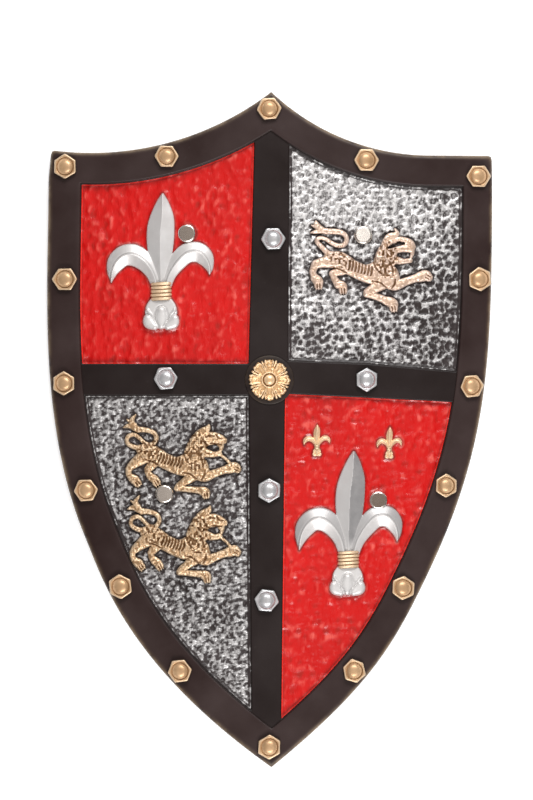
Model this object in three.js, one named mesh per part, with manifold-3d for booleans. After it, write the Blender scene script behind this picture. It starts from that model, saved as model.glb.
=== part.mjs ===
// Heater shield: a knight's shield for dressing up, moulded in one piece from soft foam.
// It lies on its back. Millimetres, +X to the right of the face, +Y to the shield's top,
// +Z out of the face. The whole blank is bent a little round an axis along Y, so the middle
// of the back stands clear of the surface and the two long edges rest on it.

import * as THREE from 'three';
import { mergeVertices } from 'three/addons/utils/BufferGeometryUtils.js';
import Module from 'manifold-3d';

const wasm = await Module();
wasm.setup();

// ---------------------------------------------------------------- driving dimensions

const HALF_WIDTH = 155.8;      // widest half of the outline
const BEND_RADIUS = 620;       // radius of the bent back
const BORDER_HEIGHT = 13;      // thickness of the foam at the raised border
const BAND_HEIGHT = 11.4;      // thickness along the two crossing bands
const PANEL_HEIGHT = 9;        // thickness of the four sunk panels
const BORDER_WIDTH = 21.4;     // how far the border reaches in from the outline
const BORDER_SHIFT = 1.1;      // the inside of the border sits this far to the right
const EDGE_CHAMFER = 2.4;      // softened front edge of the outline
const SINK = 0.8;              // how deep a raised emblem is rooted in the foam
const GAP = 0.35;              // air between touching pieces

// The top edge is two hollow arcs that meet in the middle; the right one ends in a flat run.
const LEFT_ARC = { x: -124, y: 399.7, radius: 206.2 };
const RIGHT_ARC = { x: 112, y: 352.9, radius: 161.3 };
const TOP_LEFT = new THREE.Vector2(-152.9, 195.5);
const TOP_RIGHT = new THREE.Vector2(155.5, 191.5);
const APEX = new THREE.Vector2(1.1, 235.8);
const TIP = new THREE.Vector2(1.2, -235.9);

// Bends of the two sides, from the shoulder to the tip: start, two handles, end.
const LEFT_SIDE = [
  [[-154.9, 174.7], [-154.9, 101.3], [-163.6, 7], [-129.1, -75.5]],
  [[-129.1, -75.5], [-117.5, -103.2], [-99.7, -164.6], [1.2, -235.9]],
];
const RIGHT_SIDE = [
  [[155.8, 174.7], [155.8, 44.4], [153.6, -12.7], [108, -106.2]],
  [[108, -106.2], [86, -151.5], [68.8, -180.9], [1.2, -235.9]],
];

// Straight edges of the crossing bands, as the inner corners of the four panels.
const FAR = 260;
const QUARTERS = [
  [[-9.2, FAR], [-14.8, 45.9], [-FAR, 45.9], [-FAR, FAR]],
  [[14, FAR], [12.8, 48], [68, 45.9], [131, 40.3], [FAR, 28], [FAR, FAR]],
  [[-14.6, 23.8], [-12.2, -FAR], [-FAR, -FAR], [-FAR, 23.8]],
  [[10.7, 24.9], [7.4, -FAR], [FAR, -FAR], [FAR, 11], [112, 20]],
];

// Six-sided bolt heads with a dome, moulded in place: x, y and the turn of a corner in degrees.
const BORDER_BOLTS = [
  [-143.2, 184, 30], [-72, 190.8, 0], [-0.4, 223.9, 5], [67.6, 188.2, 0], [146.2, 177.1, 0],
  [-143.4, 105.1, 0], [147, 105.1, 35], [-144, 32.2, 30], [141.5, 30.2, 5],
  [-128.5, -42.6, 5], [123.4, -39.3, 28], [-104.4, -109.8, 35], [93.3, -110.7, 25],
  [-62.8, -168.7, 8], [59, -168.6, 42], [-0.3, -221.7, 29],
];
const BAND_BOLTS = [
  [2.4, 133.1, 3], [-72.7, 35.7, 5], [67.8, 34.7, 30], [-0.4, -42.6, 30], [-2.2, -119.4, 52],
];
const BOLT = { corner: 9, top: 8.4, height: 3.4, dome: 6, domeHeight: 2.6 };

const ROSETTE = { x: -0.2, y: 34.6, disc: 17.2, petal: 13.9, lobe: 0.9, petals: 8, centre: 4.7 };

// Large lilies stand on two panels, small ones on the fourth: place, height and width scales.
const LILIES = [
  { x: -75.9, y: 96.6, tall: 1, wide: 1, thick: 1 },
  { x: 55.4, y: -91.1, tall: 1.11, wide: 1.02, thick: 1 },
  { x: 33, y: -4, tall: 0.235, wide: 0.26, thick: 0.4, small: true },
  { x: 83.4, y: -5.5, tall: 0.235, wide: 0.24, thick: 0.4, small: true },
];

const LIONS = [
  { x: 70.2, y: 116.2, loose: true },
  { x: -63.5, y: -18.6, loose: false },
  { x: -59.3, y: -75.3, loose: false },
];

// Rivets that hold the arm straps, by their place on the face.
const RIVETS = {
  upper_left: [-56.9, 137],
  upper_right: [64.3, 136],
  lower_left: [-72.3, -45.1],
  lower_right: [74.7, -49.5],
};
const RIVET = { cap: 6.4, capHeight: 2.4, shank: 1.9, hole: 2.3, back: 6, backHeight: 2 };
const STRAP = { width: 25, thickness: 1.6, slack: 10, tab: 13 };

// ---------------------------------------------------------------- small tools

// Height of the back above the surface it lies on, at a distance x from the middle.
function lift(x) {
  const drop = Math.sqrt(BEND_RADIUS ** 2 - HALF_WIDTH ** 2);
  return Math.sqrt(BEND_RADIUS ** 2 - x * x) - drop;
}

// A closed solid from any three.js geometry whose shared corners are merged.
function toSolid(geometry) {
  geometry.deleteAttribute('normal');
  geometry.deleteAttribute('uv');
  const merged = mergeVertices(geometry, 1e-4);
  const index = merged.index.array;
  const kept = [];
  for (let i = 0; i < index.length; i += 3) {
    const [a, b, c] = [index[i], index[i + 1], index[i + 2]];
    if (a !== b && b !== c && c !== a) {
      kept.push(a, b, c);
    }
  }
  return new wasm.Manifold(new wasm.Mesh({
    numProp: 3,
    vertProperties: merged.attributes.position.array,
    triVerts: new Uint32Array(kept),
  }));
}

function toGeometry(solid) {
  const mesh = solid.getMesh();
  const geometry = new THREE.BufferGeometry();
  geometry.setAttribute('position', new THREE.BufferAttribute(mesh.vertProperties, 3));
  geometry.setIndex(new THREE.BufferAttribute(mesh.triVerts, 1));
  geometry.computeVertexNormals();
  return geometry;
}

// Shift a small fitting to its place and slant it flat to the bend of the back there.
function settled(geometry, x, y, base) {
  const slope = -x / Math.sqrt(BEND_RADIUS ** 2 - x * x);
  const position = geometry.attributes.position;
  for (let i = 0; i < position.count; i += 1) {
    position.setZ(i, position.getZ(i) + slope * position.getX(i));
  }
  return geometry.translate(x, y, base + lift(x));
}

// Raise every corner by the bend of the back under it.
function lifted(geometry) {
  const position = geometry.attributes.position;
  for (let i = 0; i < position.count; i += 1) {
    position.setZ(i, position.getZ(i) + lift(position.getX(i)));
  }
  return geometry;
}

// A closed body from a row of rings with the same number of corners. The row either ends in
// two caps or, when looped, joins its last ring to its first.
function fromRings(rings, looped = false) {
  const size = rings[0].length;
  const positions = rings.flat().flatMap((p) => [p.x, p.y, p.z]);
  const index = [];
  const spans = looped ? rings.length : rings.length - 1;
  for (let r = 0; r < spans; r += 1) {
    const next = (r + 1) % rings.length;
    for (let k = 0; k < size; k += 1) {
      const a = r * size + k;
      const b = r * size + ((k + 1) % size);
      const c = next * size + k;
      const d = next * size + ((k + 1) % size);
      index.push(a, b, d, a, d, c);
    }
  }
  if (!looped) {
    const last = (rings.length - 1) * size;
    for (let k = 1; k < size - 1; k += 1) {
      index.push(0, k + 1, k, last, last + k, last + k + 1);
    }
  }
  const geometry = new THREE.BufferGeometry();
  geometry.setAttribute('position', new THREE.Float32BufferAttribute(positions, 3));
  geometry.setIndex(index);
  return facingOut(geometry);
}

// Turn a closed geometry's triangles outward if its volume comes out negative.
function facingOut(geometry) {
  const p = geometry.attributes.position;
  const index = geometry.index.array;
  const corner = [new THREE.Vector3(), new THREE.Vector3(), new THREE.Vector3()];
  let volume = 0;
  for (let i = 0; i < index.length; i += 3) {
    corner.forEach((v, k) => v.fromBufferAttribute(p, index[i + k]));
    volume += corner[0].dot(corner[1].cross(corner[2]));
  }
  if (volume < 0) {
    for (let i = 0; i < index.length; i += 3) {
      [index[i], index[i + 1]] = [index[i + 1], index[i]];
    }
  }
  return geometry;
}

function prism(points, low, high) {
  const shape = new THREE.Shape(points);
  const geometry = new THREE.ExtrudeGeometry(shape, { depth: high - low, bevelEnabled: false });
  geometry.translate(0, 0, low);
  return toSolid(geometry);
}

// A turned body standing on the XY plane, its profile given as [radius, height] pairs.
function turned(profile, segments, turn = 0) {
  const points = profile.map(([radius, height]) => new THREE.Vector2(radius, height));
  const geometry = new THREE.LatheGeometry(points, segments);
  geometry.rotateX(Math.PI / 2);
  geometry.rotateZ(turn);
  return geometry;
}

// ---------------------------------------------------------------- outline of the blank

function bezierSide(spans, steps) {
  const points = [];
  spans.forEach((span) => {
    const [a, b, c, d] = span.map(([x, y]) => new THREE.Vector2(x, y));
    const curve = new THREE.CubicBezierCurve(a, b, c, d);
    points.push(...curve.getSpacedPoints(steps).slice(points.length ? 1 : 0));
  });
  return points;
}

function topArc(arc, fromX, toX, steps) {
  const points = [];
  for (let i = 0; i <= steps; i += 1) {
    const x = fromX + ((toX - fromX) * i) / steps;
    const y = arc.y - Math.sqrt(arc.radius ** 2 - (x - arc.x) ** 2);
    points.push(new THREE.Vector2(x, y));
  }
  return points;
}

// Four runs of the outline, clockwise from the shoulder at the top left.
function runs() {
  return [
    topArc(LEFT_ARC, TOP_LEFT.x, APEX.x, 12),
    [...topArc(RIGHT_ARC, APEX.x, RIGHT_ARC.x, 10), TOP_RIGHT],
    [TOP_RIGHT, ...bezierSide(RIGHT_SIDE, 11)],
    [...bezierSide(LEFT_SIDE, 11).reverse(), TOP_LEFT],
  ];
}

// Shift a run sideways, to the inside of the outline, and lengthen it straight at both ends.
function offsetRun(points, distance) {
  const moved = points.map((p, i) => {
    const before = points[Math.max(i - 1, 0)];
    const after = points[Math.min(i + 1, points.length - 1)];
    const along = after.clone().sub(before).normalize();
    return new THREE.Vector2(p.x + along.y * distance, p.y - along.x * distance);
  });
  const reach = distance + 4;
  const head = moved[0].clone().sub(moved[1]).setLength(reach).add(moved[0]);
  const tail = moved.at(-1).clone().sub(moved.at(-2)).setLength(reach).add(moved.at(-1));
  return [head, ...moved, tail];
}

function crossing(a, b, c, d) {
  const r = b.clone().sub(a);
  const s = d.clone().sub(c);
  const det = r.cross(s);
  if (Math.abs(det) < 1e-9) {
    return null;
  }
  const t = c.clone().sub(a).cross(s) / det;
  const u = c.clone().sub(a).cross(r) / det;
  return t >= 0 && t <= 1 && u >= 0 && u <= 1 ? a.clone().addScaledVector(r, t) : null;
}

// Where the end of one run meets the start of the next.
function meeting(first, second) {
  for (let i = first.length - 2; i >= 0; i -= 1) {
    for (let j = 0; j < second.length - 1; j += 1) {
      const point = crossing(first[i], first[i + 1], second[j], second[j + 1]);
      if (point) {
        return { point, i, j };
      }
    }
  }
  throw new Error('two runs of the outline do not meet');
}

// Round one corner of a closed line with a curve that touches both its sides.
function rounded(before, corner, after, radius) {
  const start = before.clone().sub(corner).setLength(radius).add(corner);
  const end = after.clone().sub(corner).setLength(radius).add(corner);
  return new THREE.QuadraticBezierCurve(start, corner.clone(), end).getPoints(4);
}

// The whole outline, or a line set in from it by a distance, with its shoulders rounded.
function outline(inset, shoulder, shift = 0) {
  const lines = runs().map((run) => offsetRun(run, inset));
  const meets = lines.map((line, k) => meeting(line, lines[(k + 1) % 4]));
  const points = [];
  lines.forEach((line, k) => {
    const from = meets[(k + 3) % 4].j + 1;
    const inner = line.slice(from, meets[k].i + 1);
    const middle = inner.filter((p) => clearOf(p, meets, shoulder));
    points.push(...middle);
    const isShoulder = k === 1 || k === 3;
    const next = lines[(k + 1) % 4].slice(meets[k].j + 1).find((p) => clearOf(p, meets, shoulder));
    const corner = meets[k].point;
    points.push(...(isShoulder ? rounded(middle.at(-1), corner, next, shoulder) : [corner]));
  });
  points.forEach((p) => p.setX(p.x + shift));
  return points;
}

function clearOf(point, meets, distance) {
  return meets.every(({ point: corner }) => corner.distanceTo(point) > distance + 0.5);
}

// ---------------------------------------------------------------- body of the shield

// A slab bent like the back, between two heights above it.
function bentSlab(low, high) {
  const strips = 14;
  const reach = HALF_WIDTH + 12;
  const upper = [];
  const lower = [];
  for (let i = 0; i <= strips; i += 1) {
    const x = -reach + (2 * reach * i) / strips;
    upper.push(new THREE.Vector2(x, lift(x) + high));
    lower.unshift(new THREE.Vector2(x, lift(x) + low));
  }
  const length = 2 * FAR;
  const shape = new THREE.Shape([...upper, ...lower]);
  const geometry = new THREE.ExtrudeGeometry(shape, { depth: length, bevelEnabled: false });
  geometry.rotateX(Math.PI / 2);
  geometry.translate(0, length / 2, 0);
  return toSolid(geometry);
}

// A three-sided band that follows the outline and planes off its front edge.
function edgePlane(points, chamfer) {
  const rings = points.map((p, i) => {
    const before = p.clone().sub(points.at(i - 1)).normalize();
    const after = points[(i + 1) % points.length].clone().sub(p).normalize();
    const along = before.add(after).normalize();
    const turnBack = Math.max(Math.abs(along.dot(after)), 0.6);
    const out = new THREE.Vector2(-along.y, along.x).divideScalar(turnBack);
    const place = (outward, height) => {
      const x = p.x + out.x * outward;
      return new THREE.Vector3(x, p.y + out.y * outward, height + lift(x));
    };
    return [
      place(-chamfer - 0.5, BORDER_HEIGHT + 0.5),
      place(2, BORDER_HEIGHT + 0.5),
      place(2, BORDER_HEIGHT - chamfer - 2),
    ];
  });
  return toSolid(fromRings(rings, true));
}

function moulding() {
  const edge = outline(0, 3.5);
  const field = outline(BORDER_WIDTH, 8, BORDER_SHIFT);
  const sunk = outline(BORDER_WIDTH + 0.8, 8, BORDER_SHIFT);
  let body = prism(edge, -10, 60).intersect(bentSlab(0, BORDER_HEIGHT));
  body = body.subtract(prism(field, -10, 60).intersect(bentSlab(BAND_HEIGHT, 30)));
  const overPanels = prism(sunk, -10, 60).intersect(bentSlab(PANEL_HEIGHT, 30));
  QUARTERS.forEach((corners) => {
    const quarter = prism(corners.map(([x, y]) => new THREE.Vector2(x, y)), -10, 60);
    body = body.subtract(overPanels.intersect(quarter));
  });
  return body.subtract(edgePlane(edge, EDGE_CHAMFER));
}

// ---------------------------------------------------------------- bolts and rosette

function bolt([x, y, degrees], base) {
  const { corner, top, height, dome, domeHeight } = BOLT;
  const turn = THREE.MathUtils.degToRad(degrees);
  const nut = turned([[0, -SINK], [corner, -SINK], [top, height], [0, height]], 6, turn);
  const cap = turned([
    [0, height - SINK], [dome, height - SINK], [dome * 0.8, height + domeHeight * 0.7],
    [0, height + domeHeight],
  ], 10, turn);
  const parts = [nut, cap].map((geometry) => toSolid(settled(geometry, x, y, base)));
  return parts[0].add(parts[1]);
}

function rosette() {
  const { x, y, disc, petal, lobe, petals, centre } = ROSETTE;
  const plate = turned([[0, -SINK], [disc, -SINK], [disc - 0.6, 1.2], [0, 1.2]], 24);
  const rim = [];
  const steps = petals * 2;
  for (let i = 0; i < steps; i += 1) {
    const angle = (i / steps) * Math.PI * 2;
    const radius = petal + (i % 2 ? 0 : lobe);
    rim.push(new THREE.Vector2(radius * Math.cos(angle), radius * Math.sin(angle)));
  }
  const flower = new THREE.ExtrudeGeometry(new THREE.Shape(rim), {
    depth: 2.2, bevelThickness: 1, bevelSize: 1.2, bevelOffset: -1.2, bevelSegments: 1,
  });
  const knob = turned([[0, 2], [centre, 2], [centre * 0.8, 4.6], [0, 5.4]], 12);
  return [plate, flower, knob]
    .map((geometry) => toSolid(settled(geometry, x, y, BAND_HEIGHT)))
    .reduce((whole, part) => whole.add(part));
}

// ---------------------------------------------------------------- raised emblems

// Directions across a bent line on the face, one at each of its stations.
function acrossLine(stations) {
  return stations.map((s, i) => {
    const before = stations[Math.max(i - 1, 0)];
    const after = stations[Math.min(i + 1, stations.length - 1)];
    return new THREE.Vector2(before[1] - after[1], after[0] - before[0]).normalize();
  });
}

// A raised rib along a line of [x, y, half width] stations. The section is a list of
// [share of the half width, share of the height] pairs above the rooted foot.
function rib(stations, section, heightOf) {
  const across = acrossLine(stations);
  const rings = stations.map(([x, y, half], i) => {
    const place = (side, height) => new THREE.Vector3(
      x + across[i].x * half * side,
      y + across[i].y * half * side,
      height,
    );
    const top = section.map(([side, share]) => place(side, share * heightOf(half)));
    return [place(1, -SINK), ...top, place(-1, -SINK)];
  });
  return fromRings(rings);
}

const ROOF = [[1, 0.35], [0, 1], [-1, 0.35]];
const ROUND = [[0.8, 0.75], [0, 1], [-0.8, 0.75]];
const FLAT = [[0.6, 1], [-0.6, 1]];
const RIDGE = [[0, 1]];

// The lily: a tall middle leaf, two leaves that curl down, a band of cords and a lobed foot.
// Each station is x, y and half width on a lily 100 mm tall with its band at y = 0.
function lily({ x, y, tall, wide, thick, small }) {
  const middleLeaf = [
    [1.2, 67, 0.3], [1, 58, 4], [0.4, 50, 7.6], [-0.4, 43, 9.5], [-0.6, 33, 9.2],
    [-0.5, 20, 6.9], [0, 4, 3.4],
  ];
  const leftLeaf = [
    [-34.3, 6.4, 0.3], [-33.6, 14, 3.6], [-31.6, 19.8, 5.6], [-26, 24.4, 6.6],
    [-19, 25, 7.2], [-11.6, 20.6, 7], [-5.6, 12, 4.6], [-3.6, 4, 3.4],
  ];
  const rightLeaf = [
    [33.8, 11.4, 0.3], [33.6, 17, 3], [30.8, 23.4, 5.4], [25.6, 27.2, 6.4],
    [18, 26.4, 6.6], [11.4, 20.4, 6.4], [6.8, 12.4, 4.4], [4.4, 4, 3.4],
  ];
  const foot = [[0, -4, 6], [0, -11, 6.2], [0, -15.6, 10.6], [0, -22, 12.4], [0, -26.6, 9], [0, -29, 3]];
  const band = [[0, 6.6, 7.6], [0, -6.6, 7.6]];
  const leafHeight = (half) => thick * Math.min(4.2, 2.2 + half * 0.28);
  const needed = (_, i, all) => !small || i % 2 === 0 || i === all.length - 1;
  const spread = (stations) => stations.filter(needed).map(([px, py, half]) => [
    x + px * wide, y + py * tall, half * Math.sqrt(wide * tall),
  ]);
  const parts = [
    ...[middleLeaf, leftLeaf, rightLeaf, foot].map((stations) => (
      rib(spread(stations), small ? RIDGE : ROOF, leafHeight)
    )),
    rib(spread(band), ROUND, () => thick * 5),
  ];
  return parts.map((geometry) => raised(geometry)).reduce((whole, part) => whole.add(part));
}

// The walking lion, its limbs as ribs of [x, y, half width] round the hollow of its back.
const LION = {
  tail: [
    [-28.3, 6.2, 1.6], [-36.2, 9.2, 1.4], [-37, 13.4, 1.3], [-32, 14.4, 1.2],
    [-25.9, 10.2, 1.3], [-20.5, 9.4, 1.4], [-17.2, 13.4, 1.3], [-20.9, 17.9, 1.5],
    [-31.5, 20.3, 2.2], [-34.6, 24, 2.2], [-31, 29.4, 0.3],
  ],
  tuft: [[-33, 21.5, 2], [-36, 22, 1.6], [-39.4, 20.9, 0.3]],
  trunk: [
    [-29, 5, 2.5], [-25.5, 3.4, 4.6], [-20.3, 1.2, 6.5], [-12.3, -2.5, 5.8],
    [-3, -7, 5.6], [8.6, -6.6, 8.6], [15, -9.4, 7.2], [19.5, -12.4, 3.4],
  ],
  mane: [
    [11.5, -9, 7], [12.2, 0, 7.6], [14.8, 9.9, 6], [18.4, 15.8, 4], [22, 21.6, 0.4],
  ],
  face: [[15, 11.4, 4], [20, 12.6, 4.6], [25.9, 12, 4.4], [30.6, 10.8, 3.6], [33, 10, 1.6]],
  lip: [[31.2, 9, 1.8], [31.4, 6.6, 1.5], [30.9, 4.6, 0.8]],
  jaw: [[17, 3, 3], [20.3, 1.4, 3], [25, 0.4, 2], [29.8, 0.5, 1.2]],
  raisedLeg: [
    [16, -14.6, 4], [19.5, -15, 3.8], [25.9, -12.9, 2.8], [32.6, -10.6, 2.7],
    [37, -9.8, 3.4], [40.4, -10, 4], [43.2, -9.4, 2.4],
  ],
  upperArm: [[13.5, -12.6, 4.6], [10, -15, 4.2], [5.5, -18.6, 2.8], [0.4, -22.8, 2.5], [-1.2, -24.6, 1.6]],
  forearm: [
    [-1.6, -23.6, 1.8], [2, -24, 2], [7.4, -24.3, 1.7], [14.6, -24.9, 1.9],
    [17.6, -25.6, 3.6], [20, -26, 3.8], [21, -26.2, 2],
  ],
  thigh: [[-20, 1, 5], [-26.5, -1.4, 5.4], [-31, -5.4, 3.8], [-35.2, -9.6, 2.4], [-36, -11.4, 1.6]],
  shank: [[-35.4, -9.6, 1.9], [-35.8, -12.4, 2], [-34.8, -15.6, 2.3], [-31.6, -18.6, 3], [-29, -20.4, 2]],
  farThigh: [[-15, -2, 3], [-17.9, -4.6, 3.8], [-21, -8.4, 2.9], [-22.6, -11.4, 1.6]],
  farShank: [[-22.2, -9.6, 1.9], [-21.6, -13, 2.2], [-18.6, -17, 3], [-16, -19.6, 1.8]],
  link: [[29.4, 1.4, 0.9], [33.5, -2.6, 0.8], [37.8, -6.6, 0.9]],
};

// Limbs held differently by the lion whose paws are free.
const LOOSE_LION = {
  ...LION,
  forearm: [
    [-1.4, -20.6, 2], [3, -22, 2.2], [9, -24.4, 2.3], [14, -27, 2.8],
    [17.4, -29.8, 3.2], [18.6, -32, 2],
  ],
  upperArm: [[13.5, -12.6, 4.6], [8, -14.6, 4], [3, -17.4, 3], [-1, -20, 2.6], [-2.4, -21.4, 1.6]],
  thigh: [[-20, 2, 5], [-25.5, 1.4, 5.2], [-31, 0.4, 3.9], [-36.6, -1, 3], [-38.6, -2.6, 1.8]],
  shank: [[-37.6, -1.4, 2.2], [-38.4, -6, 2.3], [-37, -11, 2.4], [-34, -14, 3.2], [-32.4, -16.4, 2]],
  link: null,
};

function lion({ x, y, loose }) {
  const limbs = Object.values(loose ? LOOSE_LION : LION).filter(Boolean);
  return limbs
    .map((limb) => {
      const stations = limb.map(([px, py, half]) => [x + px, y + py, half]);
      const thickest = Math.max(...limb.map(([, , half]) => half));
      const section = thickest > 4.2 ? FLAT : RIDGE;
      return raised(rib(stations, section, (half) => 1.3 + Math.min(half, 5) * 0.4));
    })
    .reduce((whole, part) => whole.add(part));
}

// Set a flat relief on the bent surface of the panels.
function raised(geometry) {
  return toSolid(lifted(geometry.translate(0, 0, PANEL_HEIGHT)));
}

// ---------------------------------------------------------------- rivets and straps

// Turn a fitting about Y so that it stands square on the bent back at its place.
function seated(geometry, [x, y]) {
  geometry.rotateY(Math.asin(x / BEND_RADIUS));
  geometry.translate(x, y, lift(x));
  return geometry;
}

function frontRivet() {
  const { cap, capHeight, shank } = RIVET;
  const under = PANEL_HEIGHT + GAP;
  const end = -GAP - STRAP.thickness - 1.2;
  return turned([
    [0, end], [shank, end], [shank, under], [cap, under], [cap, under + capHeight * 0.45],
    [cap - 0.6, under + capHeight * 0.85], [cap - 1.7, under + capHeight], [0, under + capHeight],
  ], 12);
}

function backRivet() {
  const { back, backHeight, hole } = RIVET;
  const face = -2 * GAP - STRAP.thickness;
  const floor = face - backHeight * 0.65;
  return turned([
    [0, face - backHeight], [back - 1.2, face - backHeight], [back, face - backHeight * 0.6],
    [back, face], [hole, face], [hole, floor], [0, floor],
  ], 12);
}

function rivetHole(place) {
  const { hole } = RIVET;
  return toSolid(seated(turned([[0, -20], [hole, -20], [hole, 30], [0, 30]], 12), place));
}

// Room for the cap above the panel, where an emblem comes close to it.
function capRoom(place) {
  const wide = RIVET.cap + GAP;
  const low = PANEL_HEIGHT - 0.05;
  return toSolid(seated(turned([[0, low], [wide, low], [wide, 30], [0, 30]], 12), place));
}

// Flat elastic webbing between two rivets. It lies along the back at both ends and hangs
// slack between them.
function strap(left, right) {
  const steps = 14;
  const from = left[0] - STRAP.tab;
  const to = right[0] + STRAP.tab;
  const rings = [];
  for (let i = 0; i <= steps; i += 1) {
    const x = from + ((to - from) * i) / steps;
    const share = (x - left[0] - RIVET.back) / (right[0] - left[0] - 2 * RIVET.back);
    const free = THREE.MathUtils.clamp(share, 0, 1);
    const slack = STRAP.slack * 0.5 * (1 - Math.cos(2 * Math.PI * free));
    const y = left[1] + ((right[1] - left[1]) * (x - left[0])) / (right[0] - left[0]);
    const top = lift(x) - GAP - slack;
    const half = STRAP.width / 2;
    rings.push([
      new THREE.Vector3(x, y - half, top),
      new THREE.Vector3(x, y + half, top),
      new THREE.Vector3(x, y + half, top - STRAP.thickness),
      new THREE.Vector3(x, y - half, top - STRAP.thickness),
    ]);
  }
  return toSolid(fromRings(rings)).subtract(rivetHole(left)).subtract(rivetHole(right));
}

// ---------------------------------------------------------------- assembly

const FOAM = { color: 0x2f2827, roughness: 0.5, metalness: 0 };
const NICKEL = { color: 0xb9b1a4, roughness: 0.22, metalness: 1 };
const WEBBING = { color: 0x141414, roughness: 0.95, metalness: 0 };

const shield = new THREE.Group();

function addPiece(name, geometry, finish) {
  const mesh = new THREE.Mesh(geometry, new THREE.MeshStandardMaterial(finish));
  mesh.name = name;
  shield.add(mesh);
  return mesh;
}

function shieldBody() {
  let body = moulding();
  const raisedParts = [
    ...LILIES.map(lily),
    ...LIONS.map(lion),
    rosette(),
    ...BORDER_BOLTS.map((place) => bolt(place, BORDER_HEIGHT)),
    ...BAND_BOLTS.map((place) => bolt(place, BAND_HEIGHT)),
  ];
  raisedParts.forEach((part) => {
    body = body.add(part);
  });
  Object.values(RIVETS).forEach((place) => {
    body = body.subtract(rivetHole(place)).subtract(capRoom(place));
  });
  return toGeometry(body);
}

const body = addPiece('shield_body', shieldBody(), FOAM);
Object.entries(RIVETS).forEach(([place, at]) => {
  addPiece(`front_rivet_${place}`, seated(frontRivet(), at), NICKEL);
  addPiece(`back_rivet_${place}`, seated(backRivet(), at), NICKEL);
});
addPiece('strap_upper', toGeometry(strap(RIVETS.upper_left, RIVETS.upper_right)), WEBBING);
addPiece('strap_lower', toGeometry(strap(RIVETS.lower_left, RIVETS.lower_right)), WEBBING);

// The frame's origin is under the middle of the whole shield, on the surface it lies on.
const box = new THREE.Box3().setFromObject(body);
shield.position.set(-(box.min.x + box.max.x) / 2, -(box.min.y + box.max.y) / 2, -box.min.z);

export default shield;
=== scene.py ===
# %% [markdown]
# A heater shield is the small shield, broad above and pointed below, that a rider carried on
# the arm. The top of this one is drawn in two hollow arcs that meet in a peak. It is made for
# dressing up: soft foam pressed in one mould, painted by hand, with two webbing straps riveted
# to its back. The script starts from the exact solids of the shield and gives each surface its
# fine relief and its paint.

# %% Load the solid model
import math
import bpy
import numpy as np
from mathutils import Matrix, Vector
from mathutils.geometry import delaunay_2d_cdt


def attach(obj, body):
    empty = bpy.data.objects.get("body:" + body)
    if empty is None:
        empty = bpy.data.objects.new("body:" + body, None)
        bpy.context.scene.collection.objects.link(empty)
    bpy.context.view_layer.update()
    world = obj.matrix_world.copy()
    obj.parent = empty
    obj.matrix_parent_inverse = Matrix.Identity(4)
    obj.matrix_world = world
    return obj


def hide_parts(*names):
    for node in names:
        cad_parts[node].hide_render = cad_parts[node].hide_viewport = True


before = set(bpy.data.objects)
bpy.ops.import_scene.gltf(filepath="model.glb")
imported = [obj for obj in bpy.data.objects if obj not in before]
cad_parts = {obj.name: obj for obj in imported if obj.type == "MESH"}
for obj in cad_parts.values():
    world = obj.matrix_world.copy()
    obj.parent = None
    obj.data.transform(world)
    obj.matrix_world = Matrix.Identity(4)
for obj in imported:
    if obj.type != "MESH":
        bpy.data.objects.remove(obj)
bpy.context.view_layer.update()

# %% [markdown]
# The blank is a flat sheet bent a little round a long axis, so that it hugs the arm. Every
# height is therefore measured from the bent back, and one small function adds the bend. All
# lengths are written in millimetres and turned into metres when a mesh is made. Each lion is
# listed with its centre and how much wider and taller it stands than the drawing of its limbs,
# each rivet cap with its centre.

# %% Driving sizes and the bend
HALF_WIDTH = 155.8
BEND_RADIUS = 620.0
BORDER_HEIGHT = 13.0
BAND_HEIGHT = 11.4
PANEL_HEIGHT = 9.0
BORDER_WIDTH = 21.4
BORDER_SHIFT = 1.1
LIONS = {
    "lion_upper_right": (68.9, 116.2, 1.0, 1.0),
    "lion_middle": (-63.5, -18.2, 0.967, 0.96),
    "lion_lower": (-62.0, -76.0, 0.932, 0.994),
}
CAPS = {
    "upper_left": (-56.9, 137.0),
    "upper_right": (64.3, 136.0),
    "lower_left": (-72.3, -45.1),
    "lower_right": (74.7, -49.5),
}


def lift(x):
    """Height of the bent back above the table at a distance x from the middle."""
    drop = math.sqrt(BEND_RADIUS ** 2 - HALF_WIDTH ** 2)
    return np.sqrt(BEND_RADIUS ** 2 - np.asarray(x, float) ** 2) - drop

# %% [markdown]
# The outline has four runs: two hollow arcs that meet in a peak at the top, and two long curved
# sides that meet in the tip. Each run is a dense row of points. A line set in from the outline
# is made by shifting every run sideways and cutting it where it meets its neighbours.

# %% Runs of the outline
TOP_LEFT = (-152.9, 195.5)
TOP_RIGHT = (155.5, 191.5)
TIP = (1.2, -235.9)
LEFT_SIDE = [
    [(-154.9, 174.7), (-154.9, 101.3), (-163.6, 7.0), (-129.1, -75.5)],
    [(-129.1, -75.5), (-117.5, -103.2), (-99.7, -164.6), TIP],
]
RIGHT_SIDE = [
    [(155.8, 174.7), (155.8, 44.4), (153.6, -12.7), (108.0, -106.2)],
    [(108.0, -106.2), (86.0, -151.5), (68.8, -180.9), TIP],
]


def bezier(a, b, c, d, steps=80):
    """Points along one cubic curve, given its ends and its two handles."""
    t = np.linspace(0, 1, steps)[:, None]
    a, b, c, d = (np.array(p, float) for p in (a, b, c, d))
    return a * (1 - t) ** 3 + 3 * b * t * (1 - t) ** 2 + 3 * c * t ** 2 * (1 - t) + d * t ** 3


def hollow_arc(x, y, radius, start, end, steps=80):
    """Points on the lower side of a circle, from one x to another."""
    across = np.linspace(start, end, steps)
    return np.column_stack([across, y - np.sqrt(radius ** 2 - (across - x) ** 2)])


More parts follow.
